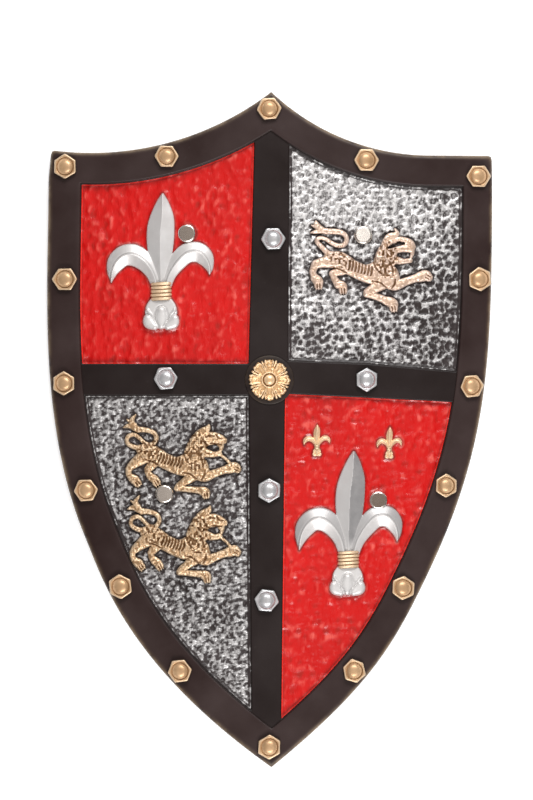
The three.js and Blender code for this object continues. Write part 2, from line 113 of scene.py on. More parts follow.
def resample(line, count):
    """The same line with its points spread evenly along it."""
    steps = np.linalg.norm(np.diff(line, axis=0), axis=1)
    travelled = np.concatenate([[0], np.cumsum(steps)])
    wanted = np.linspace(0, travelled[-1], count)
    columns = [np.interp(wanted, travelled, line[:, k]) for k in range(line.shape[1])]
    return np.column_stack(columns)


RUNS = [
    hollow_arc(-124.0, 399.7, 206.2, TOP_LEFT[0], 1.1),
    np.vstack([hollow_arc(112.0, 352.9, 161.3, 1.1, 112.0), [TOP_RIGHT]]),
    np.vstack([[TOP_RIGHT], bezier(*RIGHT_SIDE[0]), bezier(*RIGHT_SIDE[1])[1:]]),
    np.vstack([bezier(*LEFT_SIDE[0]), bezier(*LEFT_SIDE[1])[1:]])[::-1],
]
RUNS[3] = np.vstack([RUNS[3], [TOP_LEFT]])
RUNS = [resample(run, 160) for run in RUNS]
print("runs of the outline:", len(RUNS))

# %% [markdown]
# A closed line set in from the outline keeps the same number of points whatever its distance,
# so the rings of a moulding can be joined point to point without a search. The two shoulders
# are rounded, as foam always is at a corner.

# %% Closed lines set in from the outline
COUNTS = (70, 70, 150, 150)


def shifted_run(line, distance):
    """A run moved to the inside of the outline and lengthened straight at both ends."""
    along = np.gradient(line, axis=0)
    along /= np.linalg.norm(along, axis=1)[:, None]
    moved = line + np.column_stack([along[:, 1], -along[:, 0]]) * distance
    reach = distance + 4
    head = moved[0] - along[0] * reach
    tail = moved[-1] + along[-1] * reach
    return np.vstack([head, moved, tail])


def meeting(first, second):
    """Where the end of one run crosses the start of the next one."""
    a = first[:-1, None]
    r = first[1:, None] - a
    c = second[None, :-1]
    s = second[None, 1:] - c
    turn = r[..., 0] * s[..., 1] - r[..., 1] * s[..., 0]
    turn = np.where(np.abs(turn) < 1e-9, 1e-9, turn)
    gap = c - a
    t = (gap[..., 0] * s[..., 1] - gap[..., 1] * s[..., 0]) / turn
    u = (gap[..., 0] * r[..., 1] - gap[..., 1] * r[..., 0]) / turn
    hits = np.argwhere((t >= 0) & (t <= 1) & (u >= 0) & (u <= 1))
    i, j = max(hits, key=lambda hit: (hit[0], -hit[1]))
    return first[i] + (first[i + 1] - first[i]) * t[i, j], i, j


def round_corner(loop, corner, radius):
    """Bends the points near one corner of a closed line onto a curve."""
    count = len(loop)
    order = [(corner + k) % count for k in range(-40, 41)]
    distance = np.linalg.norm(loop[order] - loop[corner], axis=1)
    near = [index for index, away in zip(order, distance) if away < radius]
    start = loop[near[0]].copy()
    end = loop[near[-1]].copy()
    middle = loop[corner].copy()
    for k, index in enumerate(near):
        t = k / (len(near) - 1)
        loop[index] = start * (1 - t) ** 2 + 2 * middle * t * (1 - t) + end * t ** 2
    return loop


def set_in(distance, shoulder, shift=0.0):
    """The closed outline, or a line at a distance inside it, running clockwise."""
    lines = [shifted_run(run, distance) for run in RUNS]
    meets = [meeting(lines[k], lines[(k + 1) % 4]) for k in range(4)]
    parts = []
    for k, line in enumerate(lines):
        start, _, first = meets[k - 1]
        end, last, _ = meets[k]
        part = np.vstack([start, line[first + 1:last + 1], end])
        parts.append(resample(part, COUNTS[k] + 1)[:-1])
    loop = np.vstack(parts)
    round_corner(loop, 0, shoulder)
    round_corner(loop, COUNTS[0] + COUNTS[1], shoulder)
    return loop + np.array([shift, 0.0])


def ring_at(inward):
    """A closed line part of the way from the outline to the inner line of the border."""
    return EDGE + (FIELD - EDGE) * (inward / BORDER_WIDTH)


EDGE = set_in(0.0, 3.5)
FIELD = set_in(BORDER_WIDTH, 2.6, BORDER_SHIFT)
SUNK = set_in(BORDER_WIDTH + 0.8, 2.6, BORDER_SHIFT)
CENTRE = (EDGE.min(axis=0) + EDGE.max(axis=0)) / 2
LOWEST = float(lift(np.abs(EDGE[:, 0]).max()))
print("outline centre and lowest point in mm:", CENTRE, LOWEST)

# %% [markdown]
# Two helpers do the work of every part of the shield. One turns points and faces into a piece
# that rides with the solid body, with extra numbers per point that a material can read. The
# other joins rows of points into a strip, like the hoops of a barrel.

# %% Making a piece


def to_metres(points):
    """Millimetres of the flat drawing to metres in the shared frame, bend included."""
    points = np.asarray(points, float).copy()
    points[:, 2] += lift(points[:, 0]) - LOWEST
    points[:, :2] -= CENTRE
    return points / 1000.0


def make_piece(name, points, faces, finish, numbers, nodes=("shield_body",)):
    """A smooth-shaded mesh from points already in metres."""
    mesh = bpy.data.meshes.new(name)
    mesh.from_pydata([tuple(p) for p in points], [], [tuple(f) for f in faces])
    mesh.validate()
    mesh.polygons.foreach_set("use_smooth", [True] * len(mesh.polygons))
    for key, values in numbers.items():
        layer = mesh.attributes.new(key, "FLOAT", "POINT")
        layer.data.foreach_set("value", np.asarray(values, np.float32))
    mesh.materials.append(finish)
    piece = bpy.data.objects.new(name, mesh)
    bpy.context.scene.collection.objects.link(piece)
    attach(piece, "root")
    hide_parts(*nodes)
    print(name, "has", len(mesh.polygons), "faces")
    return piece


def strip_faces(rows, size, closed=True, offset=0):
    """Quads between neighbouring rows that each hold the same number of points."""
    faces = []
    for row in range(rows - 1):
        for k in range(size if closed else size - 1):
            a = offset + row * size + k
            b = offset + row * size + (k + 1) % size
            faces.append((a, b, b + size, a + size))
    return faces


def turned(profile, around):
    """Rings of points round the middle, one for each radius and height of a profile."""
    angles = np.linspace(0, 2 * math.pi, around, endpoint=False)
    circle = np.column_stack([np.cos(angles), np.sin(angles)])
    return np.vstack([np.column_stack([r * circle, np.full(around, h)]) for r, h in profile])


def inside(points, loop):
    """Which points lie inside a closed line."""
    x, y = points[:, 0][:, None], points[:, 1][:, None]
    x0, y0 = loop[:, 0][None], loop[:, 1][None]
    x1, y1 = np.roll(loop[:, 0], -1)[None], np.roll(loop[:, 1], -1)[None]
    crosses = (y0 > y) != (y1 > y)
    rise = np.where(y1 == y0, 1e-12, y1 - y0)
    at = x0 + (y - y0) * (x1 - x0) / rise
    return (crosses & (x < at)).sum(axis=1) % 2 == 1


def from_edge(points, loop):
    """Distance of each point to a closed line, negative on the inside."""
    a = loop[None]
    ab = np.roll(loop, -1, axis=0)[None] - a
    result = []
    for part in np.array_split(points, max(1, len(points) // 4000)):
        ap = part[:, None] - a
        t = np.clip((ap * ab).sum(-1) / np.maximum((ab * ab).sum(-1), 1e-9), 0, 1)
        gap = np.linalg.norm(ap - ab * t[..., None], axis=-1).min(axis=1)
        result.append(np.where(inside(part, loop), -gap, gap))
    return np.concatenate(result)

# %% [markdown]
# Paint and foam need irregularity at several scales. A lattice of random heights, joined
# smoothly, gives broad unevenness that looks the same each time because its seed is fixed.

# %% Seeded unevenness


def uneven(x, y, size, seed):
    """Smooth random values from 0 to 1 that change over about size millimetres."""
    rng = np.random.default_rng(seed)
    lattice = rng.random((128, 128))
    u = (np.asarray(x) / size) % 127
    v = (np.asarray(y) / size) % 127
    i, j = u.astype(int), v.astype(int)
    fu, fv = u - i, v - j
    fu, fv = fu * fu * (3 - 2 * fu), fv * fv * (3 - 2 * fv)
    low = lattice[i, j] * (1 - fu) + lattice[i + 1, j] * fu
    high = lattice[i, j + 1] * (1 - fu) + lattice[i + 1, j + 1] * fu
    return low * (1 - fv) + high * fv


def step(low, high, value):
    """Rises smoothly from 0 to 1 between low and high."""
    t = np.clip((np.asarray(value, float) - low) / (high - low), 0, 1)
    return t * t * (3 - 2 * t)

# %% [markdown]
# Materials are built from shader nodes, and so is the sky. A few short helpers keep them
# readable: each adds one node and gives back its output, so a material reads like a recipe of
# layers. The helpers that need a surface are kept apart from those that work anywhere.

# %% Shader helpers


class Sums:
    """Helpers that add nodes for numbers and colours to a material or a sky."""

    def __init__(self, tree):
        self.tree = tree

    def feed(self, socket, value):
        """Links a socket to another node's output, or sets it to a plain value."""
        if isinstance(value, bpy.types.NodeSocket):
            self.tree.links.new(value, socket)
        else:
            socket.default_value = value

    def maths(self, operation, a, b):
        """One sum of two values."""
        made = self.tree.nodes.new("ShaderNodeMath")
        made.operation = operation
        self.feed(made.inputs[0], a)
        self.feed(made.inputs[1], b)
        return made.outputs[0]

    def spread(self, value, low, high, new_low=0.0, new_high=1.0):
        """Stretches a range of values to another one, clamped at its ends."""
        made = self.tree.nodes.new("ShaderNodeMapRange")
        for index, setting in enumerate((value, low, high, new_low, new_high)):
            self.feed(made.inputs[index], setting)
        return made.outputs[0]

    def mix(self, factor, a, b):
        """Colour a where the factor is 0, colour b where it is 1."""
        made = self.tree.nodes.new("ShaderNodeMix")
        made.data_type = "RGBA"
        self.feed(made.inputs[0], factor)
        self.feed(made.inputs[6], a)
        self.feed(made.inputs[7], b)
        return made.outputs[2]

    def patchy(self, cloud, a, b):
        """Two colours that take turns with the middle range of a noise."""
        return self.mix(self.spread(cloud, 0.3, 0.7), a, b)


class Recipe(Sums):
    """One material, with the helpers that read the mesh or work on its surface."""

    def __init__(self, name):
        self.material = bpy.data.materials.new(name)
        self.material.use_nodes = True
        super().__init__(self.material.node_tree)
        self.surface = self.tree.nodes["Principled BSDF"]
        coordinates = self.tree.nodes.new("ShaderNodeTexCoord")
        self.place = coordinates.outputs["Object"]

    def number(self, name):
        """A number stored at each point of the mesh."""
        made = self.tree.nodes.new("ShaderNodeAttribute")
        made.attribute_name = name
        return made.outputs["Fac"]

    def bare_sides(self, colour, dark):
        """The colour on top, and a dark one down the sides that the brush never reached."""
        return self.mix(self.spread(self.number("side"), 0.15, 0.6), colour, dark)

    def noise(self, per_metre, detail=3.0, rough=0.5, stretch=(1, 1, 1), turn=0.0):
        """Cloudy noise; stretch makes it streaky."""
        mapping = self.tree.nodes.new("ShaderNodeMapping")
        mapping.inputs["Scale"].default_value = stretch
        mapping.inputs["Rotation"].default_value = (0, 0, turn)
        self.tree.links.new(self.place, mapping.inputs["Vector"])
        made = self.tree.nodes.new("ShaderNodeTexNoise")
        made.inputs["Scale"].default_value = per_metre
        made.inputs["Detail"].default_value = detail
        made.inputs["Roughness"].default_value = rough
        self.tree.links.new(mapping.outputs["Vector"], made.inputs["Vector"])
        return made.outputs["Fac"]

    def cells(self, per_metre):
        """Distance to the nearest of many scattered points."""
        made = self.tree.nodes.new("ShaderNodeTexVoronoi")
        made.inputs["Scale"].default_value = per_metre
        self.tree.links.new(self.place, made.inputs["Vector"])
        return made.outputs["Distance"]

    def bump(self, height, strength, depth_mm, below=None):
        """Very fine unevenness that only tilts the light, laid over a coarser one."""
        made = self.tree.nodes.new("ShaderNodeBump")
        made.inputs["Strength"].default_value = strength
        made.inputs["Distance"].default_value = depth_mm / 1000.0
        self.feed(made.inputs["Height"], height)
        if below is not None:
            self.tree.links.new(below, made.inputs["Normal"])
        return made.outputs["Normal"]

    def finish(self, colour, rough, normal=None, metal=0.0, **constants):
        """Joins the layers to the surface and gives back the material."""
        self.feed(self.surface.inputs["Base Color"], colour)
        self.feed(self.surface.inputs["Roughness"], rough)
        self.feed(self.surface.inputs["Metallic"], metal)
        if normal is not None:
            self.tree.links.new(normal, self.surface.inputs["Normal"])
        for name, value in constants.items():
            self.surface.inputs[name.replace("_", " ")].default_value = value
        return self.material

# %% [markdown]
# Bare foam is dyed black right through and has a soft, slightly waxy skin from the hot mould.
# Handling polishes it unevenly, so the roughness wanders; a very fine pebble keeps it from
# looking like glass. A warm tan line is painted along the rounded outer edge.

# %% Black foam


def black_foam(name, painted_lightness):
    r = Recipe(name)
    cloud = r.noise(22, 4, 0.55)
    fine = r.noise(900, 3, 0.6)
    speck = r.cells(1500)
    low = (0.0080 * painted_lightness, 0.0038 * painted_lightness, 0.0034 * painted_lightness, 1)
    top = (0.0150 * painted_lightness, 0.0090 * painted_lightness, 0.0084 * painted_lightness, 1)
    colour = r.patchy(cloud, low, top)
    # A warm tan line is painted along the rounded outer edge of the border and of the rosette
    # plate.
    tan_and_shade = r.maths("MULTIPLY", r.number("tan_edge"), r.spread(r.noise(60, 4, 0.6), 0.35, 0.6))
    colour = r.mix(tan_and_shade, colour, (0.21, 0.15, 0.095, 1))
    dust = r.spread(r.noise(260, 5, 0.7), 0.62, 0.78, 0.0, 0.25)
    colour = r.mix(dust, colour, (0.05, 0.043, 0.040, 1))
    rough = r.spread(cloud, 0.3, 0.7, 0.36, 0.5)
    pebble = r.bump(fine, 0.25, 0.12)
    normal = r.bump(speck, 0.12, 0.1, pebble)
    return r.finish(colour, rough, normal, Specular_IOR_Level=0.27)


foam_finish = black_foam("black_foam_skin", 1.0)
# The border is a lighter copy of the same black foam: painted light, for the stronger light that
# falls on it.
painted_lit_border_foam = black_foam("black_foam_border_painted_lit", 2.3)

# %% [markdown]
# The raised border is one moulding swept round the shield. Its section starts under the back
# edge, climbs the side, rolls over the softened front edge, runs flat and drops down the inner
# wall. Each ring of the section slides between the outline and the inner line, so the section
# stays true in the sharp corners as well. A ring is listed by how far in it lies, how high it
# stands and how much of the painted tan line it carries.

# %% The border
SECTION = [
    (5.0, 0.0, 0.0), (1.6, 0.0, 0.0), (0.6, 0.25, 0.1), (0.12, 0.9, 0.2), (0.0, 2.0, 0.1),
    (0.0, 6.0, 0.05), (0.0, 9.8, 0.2), (0.12, 11.0, 0.9), (0.5, 12.0, 1.0), (1.2, 12.65, 0.55),
    (2.2, 12.94, 0.12), (3.4, 13.0, 0.0), (8.0, 13.0, 0.0), (13.0, 13.0, 0.0), (18.0, 13.0, 0.0),
    (20.3, 12.97, 0.0), (20.9, 12.8, 0.0), (21.25, 12.4, 0.0), (21.4, 11.9, 0.0),
    (21.5, 11.2, 0.0), (21.5, 8.6, 0.0),
]


def border():
    rows = []
    tan_edge = []
    for inward, height, tan_share in SECTION:
        ring = ring_at(inward)
        level = np.full(len(ring), height)
        on_top = 3 < inward < 20
        if on_top:
            level += 0.12 * (uneven(ring[:, 0] + 400, ring[:, 1] + 400, 26, 3) - 1.0)
        rows.append(np.column_stack([ring, level]))
        tan_edge.append(np.full(len(ring), tan_share))
    faces = strip_faces(len(rows), len(EDGE))
    numbers = {"tan_edge": np.concatenate(tan_edge)}
    return make_piece("foam_border", to_metres(np.vstack(rows)), faces, painted_lit_border_foam,
                      numbers)


border()

# %% [markdown]
# Two crossing bands part the field into four panels. A panel's outline is the corner where two
# bands meet plus the stretch of the border's inner line that closes it. The corners of each
# quarter lie far outside the shield, so that only the border closes it there.

# %% Outlines of the four panels
FAR = 260.0
QUARTERS = {
    "upper_left": [(-9.2, FAR), (-14.8, 45.9), (-FAR, 45.9), (-FAR, FAR)],
    "upper_right": [(14, FAR), (12.8, 48), (68, 45.9), (131, 40.3), (FAR, 28), (FAR, FAR)],
    "lower_left": [(-14.6, 23.8), (-12.2, -FAR), (-FAR, -FAR), (-FAR, 23.8)],
    "lower_right": [(10.7, 24.9), (7.4, -FAR), (FAR, -FAR), (FAR, 11), (112, 20)],
}


def closed_dense(corners, spacing):
    """A closed line through the corners, with points at a regular spacing."""
    corners = np.vstack([corners, corners[:1]]).astype(float)
    length = np.linalg.norm(np.diff(corners, axis=0), axis=1).sum()
    return resample(corners, int(length / spacing))[:-1]


def panel_outline(corners, spacing=1.2):
    """The part of a quarter that lies inside the border, as an anticlockwise line."""
    quarter = closed_dense(np.array(corners, float), 0.2)
    ring = closed_dense(SUNK, 0.2)
    straight = quarter[inside(quarter, SUNK)]
    curved = ring[inside(ring, np.array(corners, float))]
    parts = []
    for part in (straight, curved):
        gaps = np.linalg.norm(np.roll(part, -1, axis=0) - part, axis=1)
        parts.append(np.roll(part, -(int(gaps.argmax()) + 1), axis=0))
    first, second = parts
    if np.linalg.norm(first[-1] - second[0]) > np.linalg.norm(first[-1] - second[-1]):
        second = second[::-1]
    loop = closed_dense(np.vstack([first, second]), spacing)
    x, y = loop[:, 0], loop[:, 1]
    area = (x * np.roll(y, -1) - np.roll(x, -1) * y).sum() / 2
    return loop if area > 0 else loop[::-1]


def grown(loop, distance):
    """An anticlockwise closed line moved outwards, with full corners."""
    before = loop - np.roll(loop, 1, axis=0)
    after = np.roll(loop, -1, axis=0) - loop
    before /= np.linalg.norm(before, axis=1)[:, None]
    after /= np.linalg.norm(after, axis=1)[:, None]
    along = before + after
    along /= np.maximum(np.linalg.norm(along, axis=1), 1e-6)[:, None]
    turn_back = np.clip((along * after).sum(axis=1), 0.7, 1)[:, None]
    return loop + np.column_stack([along[:, 1], -along[:, 0]]) * distance / turn_back


PANELS = {name: panel_outline(corners) for name, corners in QUARTERS.items()}
for panel_name, panel_loop in PANELS.items():
    print(panel_name, "outline has", len(panel_loop), "points")

# %% [markdown]
# Flat stretches of foam need no fine grid. Loose triangles fill them, and the triangulation is
# told to keep the closed lines as edges, so that the rings of a rolled edge fit on exactly.

# %% A sheet of triangles between closed lines


def sheet(outer, holes, spacing):
    """Triangles that fill a closed line, apart from the holes in it."""
    low, high = outer.min(axis=0), outer.max(axis=0)
    across = np.arange(low[0], high[0], spacing)
    up = np.arange(low[1], high[1], spacing)
    grid = np.array(np.meshgrid(across, up)).reshape(2, -1).T
    loops = [outer] + holes
    keep = from_edge(grid, outer) < -spacing * 0.4
    for hole in holes:
        keep &= from_edge(grid, hole) > spacing * 0.4
    points = np.vstack(loops + [grid[keep]])
    edges = []
    start = 0
    for loop in loops:
        size = len(loop)
        edges += [(start + k, start + (k + 1) % size) for k in range(size)]
        start += size
    made = delaunay_2d_cdt([Vector(p) for p in points], edges, [], 0, 1e-6)
    flat = np.array([tuple(p) for p in made[0]])
    faces = np.array([tuple(f) for f in made[2]])
    middle = flat[faces].mean(axis=1)
    keep = inside(middle, outer)
    for hole in holes:
        keep &= ~inside(middle, hole)
    return flat, faces[keep]

# %% [markdown]
# The face of the bands is one such sheet with four holes in it. A small rolled edge, listed as
# steps outwards and down, leads from it into each hole. The back is a plain sheet.

# %% The crossing bands and the back
ROLL = [
    (0.75, 0.0), (0.5, -0.05), (0.28, -0.2), (0.1, -0.45), (0.0, -0.8), (-0.05, -1.5),
    (-0.1, -2.9),
]


def bands():
    outer = ring_at(20.2)
    holes = [grown(loop, ROLL[0][0]) for loop in PANELS.values()]
    flat, faces = sheet(outer, holes, 7.0)
    height = BAND_HEIGHT + 0.1 * (uneven(flat[:, 0] + 400, flat[:, 1] + 400, 18, 5) - 1.0)
    points = [np.column_stack([flat, height])]
    all_faces = [tuple(f) for f in faces]
    start = len(flat)
    for loop in PANELS.values():
        rows = []
        for outward, down in ROLL:
            ring = grown(loop, outward)
            rows.append(np.column_stack([ring, np.full(len(ring), BAND_HEIGHT + down)]))
        points.append(np.vstack(rows))
        all_faces += [f[::-1] for f in strip_faces(len(rows), len(loop), True, start)]
        start += len(points[-1])
    return make_piece("foam_bands", to_metres(np.vstack(points)), all_faces, foam_finish,
                      {"tan_edge": np.zeros(start)})


def back():
    flat, faces = sheet(ring_at(5.0), [], 8.0)
    level = np.zeros(len(flat))
    return make_piece("foam_back", to_metres(np.column_stack([flat, level])), faces[:, ::-1],
                      foam_finish, {"tan_edge": level})


bands()
back()

# %% [markdown]
# The panels look hammered. A real armourer leaves one shallow dish for every blow, and where
# dishes overlap a crisp ridge is left between them. The mould copies that: each dish is pressed
# into a height grid, the deepest dish winning at every point, so the ridges appear by themselves.
# A little warp bends the grid first, and the dishes then lose their perfect roundness.

# %% Hammer blows


def hammered(x, y, spacing, size, depth, seed, stretch=1.25, turn=0.0, wander=0.6, warp=0.0):
    """Height of a beaten surface on a regular grid, zero where no blow fell."""
    bent_x = x + warp * (uneven(x + 300, y + 300, 2.6, seed + 5) - 0.5)
    bent_y = y + warp * (uneven(x + 300, y + 300, 2.6, seed + 6) - 0.5)
    rng = np.random.default_rng(seed)
    cell = x[0, 1] - x[0, 0]
    height = np.zeros(x.shape)
    low_x, low_y = x[0, 0], y[0, 0]
    rows = np.arange(y.min() - spacing, y.max() + spacing, spacing * 0.86)
    for row, centre_y in enumerate(rows):
        for centre_x in np.arange(x.min() - spacing, x.max() + spacing, spacing):
            cx = centre_x + (row % 2) * spacing / 2 + rng.normal(0, 0.2) * spacing
            cy = centre_y + rng.normal(0, 0.2) * spacing
            radius = size * rng.uniform(0.75, 1.2)
            angle = turn + rng.normal(0, wander)
            long = radius * stretch
            deep = depth * rng.uniform(0.55, 1.15)
            reach = int(long / cell) + 2
            i = int((cy - low_y) / cell)
            j = int((cx - low_x) / cell)
            rows_in = slice(max(i - reach, 0), max(i + reach, 0))
            columns_in = slice(max(j - reach, 0), max(j + reach, 0))
            dx = bent_x[rows_in, columns_in] - cx
            dy = bent_y[rows_in, columns_in] - cy
            if dx.size == 0:
                continue
            u = (dx * math.cos(angle) + dy * math.sin(angle)) / long
            v = (-dx * math.sin(angle) + dy * math.cos(angle)) / radius
            dish = deep * (np.minimum(u * u + v * v, 1.0) - 1.0)
            part = height[rows_in, columns_in]
            height[rows_in, columns_in] = np.minimum(part, dish)
    return height


def blurred(grid, reach):
    """A grid averaged over a square window, twice, for a soft result."""
    for _ in range(2):
        for axis in (0, 1):
            total = np.zeros_like(grid)
            for shift in range(-reach, reach + 1):
                total += np.roll(grid, shift, axis=axis)
            grid = total / (2 * reach + 1)
    return grid

# %% [markdown]
# Each panel is a grid of small squares, cut roughly along its outline a little under the rolled
# edge of the bands. Its points carry how high they stand and how deep the hollow round them is,
# and the paint uses both: a nearly dry brush only touches the tops.

# %% Panel grids


def grid_over(loop, cell, margin=2.0):
    """The x and y of every point of a square grid that covers a closed line."""
    low, high = loop.min(axis=0) - margin, loop.max(axis=0) + margin
    across = np.arange(low[0], high[0], cell)
    up = np.arange(low[1], high[1], cell)
    return np.meshgrid(across, up)


def grid_faces(keep):
    """Quads for the kept squares of a grid, with the unused points dropped."""
    rows, columns = keep.shape[0] + 1, keep.shape[1] + 1
    index = np.arange(rows * columns).reshape(rows, columns)
    quads = np.stack([index[:-1, :-1], index[:-1, 1:], index[1:, 1:], index[1:, :-1]], axis=-1)
    quads = quads[keep]
    used, renumbered = np.unique(quads, return_inverse=True)
    return used, renumbered.reshape(quads.shape)


def edge_over(x, y, loop):
    """Distance of every grid point to a closed line, negative on the inside."""
    return from_edge(np.column_stack([x.ravel(), y.ravel()]), loop).reshape(x.shape)


def panel(name, loop, x, y, height, finish, numbers):
    """One panel floor, from heights on a grid that covers it."""
    gap = edge_over(x, y, loop)
    centre = (gap[:-1, :-1] + gap[1:, 1:]) / 2
    under_the_bands = 0.9
    used, faces = grid_faces(centre < under_the_bands)
    floor = height + 0.25 * step(-1.2, 0.0, gap)
    points = np.column_stack([x.ravel(), y.ravel(), PANEL_HEIGHT + floor.ravel()])[used]
    picked = {key: grid.ravel()[used] for key, grid in numbers.items()}
    picked["from_wall"] = -gap.ravel()[used]
    return make_piece(name, to_metres(points), faces, finish, picked)

# %% [markdown]
# The emblems stand up from the panels like pastry cut-outs. Each is described the way one
# would model it in clay: rolls that run from point to point and change in thickness. For every
# spot on a fine grid the script measures how far it is from each roll, in parts of that roll's
# half width; the outline and the rounded height both follow from that one number.

# %% Clay rolls on a grid


def smooth_line(stations, per_gap=5):
    """More stations along a soft curve through the given ones."""
    points = np.array(stations, float)
    padded = np.vstack([2 * points[0] - points[1], points, 2 * points[-1] - points[-2]])
    result = []
    for k in range(1, len(padded) - 2):
        p0, p1, p2, p3 = padded[k - 1:k + 3]
        for t in np.linspace(0, 1, per_gap, endpoint=False):
            result.append(0.5 * (2 * p1 + (p2 - p0) * t + (2 * p0 - 5 * p1 + 4 * p2 - p3) * t * t
                                 + (3 * p1 - p0 - 3 * p2 + p3) * t ** 3))
    result.append(points[-1])
    result = np.array(result)
    result[:, 2] = np.maximum(result[:, 2], 0.15)
    return result


def roll_field(x, y, stations):
    """Distance outside a roll, share of its half width, side of its line, and half width."""
    best = np.full(x.shape, 1e9)
    share = np.full(x.shape, 9.0)
    side = np.zeros(x.shape)
    width = np.ones(x.shape)
    for (ax, ay, ar), (bx, by, br) in zip(stations[:-1], stations[1:]):
        ux, uy = bx - ax, by - ay
        length = max(ux * ux + uy * uy, 1e-9)
        t = np.clip(((x - ax) * ux + (y - ay) * uy) / length, 0, 1)
        dx, dy = x - ax - t * ux, y - ay - t * uy
        distance = np.hypot(dx, dy)
        half = ar + (br - ar) * t
        outside = distance - half
        nearer = outside < best
        best = np.where(nearer, outside, best)
        share = np.where(nearer, distance / half, share)
        turn = (ux * dy - uy * dx) / math.sqrt(length)
        side = np.where(nearer, turn, side)
        width = np.where(nearer, half, width)
    return best, share, side, width


def rounded(share):
    """The height of a half circle at a share of its half width."""
    return np.sqrt(1 - np.clip(share, 0, 1) ** 2)


def laid_over(height, rise, out):
    """Heights after one more roll, which only counts inside its own outline."""
    return np.where(out < 0, np.maximum(height, rise), height)

# %% [markdown]
# An emblem is then cut from the grid: only the squares inside its outline are kept, the points
# on the rim are pulled sideways onto the outline, and a short skirt goes down from the rim into
# the panel so that no gap shows from the side.

# %% Emblems cut from a grid


def relief(name, x, y, edge, height, finish, floor, numbers, skirt=1.2):
    """A raised emblem: the grid squares inside its edge, trimmed to it, with a skirt."""
    middle = (edge[:-1, :-1] + edge[1:, :-1] + edge[:-1, 1:] + edge[1:, 1:]) / 4
    keep = middle < 0
    used, faces = grid_faces(keep)
    cell = x[0, 1] - x[0, 0]
    slope_y, slope_x = np.gradient(edge, cell)
    steep = np.maximum(slope_x ** 2 + slope_y ** 2, 0.3)
    counts = np.zeros(edge.shape)
    counts[:-1, :-1] += keep
    counts[1:, :-1] += keep
    counts[:-1, 1:] += keep
    counts[1:, 1:] += keep
    rim = (counts > 0) & (counts < 4)
    pull = np.where(rim, np.clip(edge / steep, -cell, cell), 0)
    px, py = x - pull * slope_x, y - pull * slope_y
    pz = np.where(rim, height * 0.55, height)
    points = np.column_stack([px.ravel(), py.ravel(), floor + pz.ravel()])[used]
    picked = {key: grid.ravel()[used] for key, grid in numbers.items()}
    edges = {}
    for a, b, c, d in faces:
        for start, end in ((a, b), (b, c), (c, d), (d, a)):
            if (end, start) in edges:
                del edges[(end, start)]
            else:
                edges[(start, end)] = True
    rim_points = sorted({k for pair in edges for k in pair})
    below = {k: len(points) + n for n, k in enumerate(rim_points)}
    low = points[rim_points].copy()
    low[:, 2] = floor - skirt
    points = np.vstack([points, low])
    sides = [(b, a, below[a], below[b]) for a, b in edges]
    for key in picked:
        picked[key] = np.concatenate([picked[key], picked[key][rim_points]])
    picked["side"] = np.concatenate([np.zeros(len(points) - len(low)), np.ones(len(low))])
    all_faces = [tuple(f) for f in faces] + sides
    return make_piece(name, to_metres(points), all_faces, finish, picked)

# %% [markdown]
# Silver on the lilies was sprayed, so it is even and satin; its grooves and the leaf facets that
# turn from the light are darkened as painted shade. Gold was brushed: pale where it is thick or
# rubbed, with a painted highlight on the tallest parts of the lions, and the brown wash that
# gives it age sits in every groove. The skirt under each emblem was never reached by paint and
# stays dark.

# %% Satin silver and antique gold


def satin_silver(name):
    r = Recipe(name)
    cloud = r.noise(70, 4, 0.6)
    fine = r.noise(1300, 3, 0.6)
    colour = r.patchy(cloud, (0.58, 0.56, 0.55, 1), (0.68, 0.665, 0.655, 1))
    # Painted shade: the grooves of the sprayed silver are darkened.
    dark = r.maths("MULTIPLY", r.number("pit"), 0.75)
    colour = r.mix(dark, colour, (0.13, 0.12, 0.12, 1))
    # Painted shade: the leaf facets that turn from the light are darkened.
    tan_and_shade = r.maths("MULTIPLY", r.number("painted_shade"), r.spread(cloud, 0.2, 0.6, 0.55, 1.0))
    colour = r.mix(tan_and_shade, colour, (0.17, 0.165, 0.17, 1))
    colour = r.bare_sides(colour, (0.035, 0.02, 0.02, 1))
    rough = r.spread(fine, 0.3, 0.7, 0.34, 0.46)
    normal = r.bump(fine, 0.14, 0.1)
    return r.finish(colour, rough, normal, 0.3)


def antique_gold(name, pale=1.0, rose=0.0):
    r = Recipe(name)
    cloud = r.noise(120, 4, 0.6)
    fine = r.noise(1200, 3, 0.6)
    light = (0.72 * pale, (0.47 + 0.05 * rose) * pale, (0.265 + 0.12 * rose) * pale, 1)
    deep = (0.52 * pale, (0.31 + 0.04 * rose) * pale, (0.155 + 0.09 * rose) * pale, 1)
    colour = r.patchy(cloud, deep, light)
    # Pale gold where the relief stands high: partly rubbed paint, and on the lions' tallest parts
    # a painted highlight.
    bright = r.maths("MULTIPLY", r.number("high"), 0.7)
    colour = r.mix(bright, colour, (0.95, 0.76, 0.54 + 0.12 * rose, 1))
    grime = r.maths("MULTIPLY", r.number("pit"), r.spread(cloud, 0.25, 0.5, 0.7, 1.0))
    colour = r.mix(grime, colour, (0.115, 0.048, 0.012, 1))
    colour = r.bare_sides(colour, (0.03, 0.02, 0.016, 1))
    rough = r.spread(fine, 0.3, 0.7, 0.32, 0.48)
    normal = r.bump(fine, 0.16, 0.1)
    return r.finish(colour, rough, normal, 0.45)


lily_silver = satin_silver("silver_spray")
lion_gold = antique_gold("gold_brushed", 0.90)
pale_gold = antique_gold("gold_brushed_pale", 1.04, 1.0)
bolt_gold = antique_gold("gold_on_bolts", 0.86)
small_gold = antique_gold("gold_on_small_lilies", 1.2, -0.1)
rose_gold = antique_gold("gold_on_rosette", 1.05, -0.2)

# %% [markdown]
# The lily has a tall middle leaf with a ridge down it, two leaves that curl out and down, a
# band of five cords and a lobed foot. Leaves get a roof-shaped section: their height falls
# evenly from the ridge, which gives the two flat facets that catch different light. Every roll
# is listed by its stations: place across, place up, and half width.

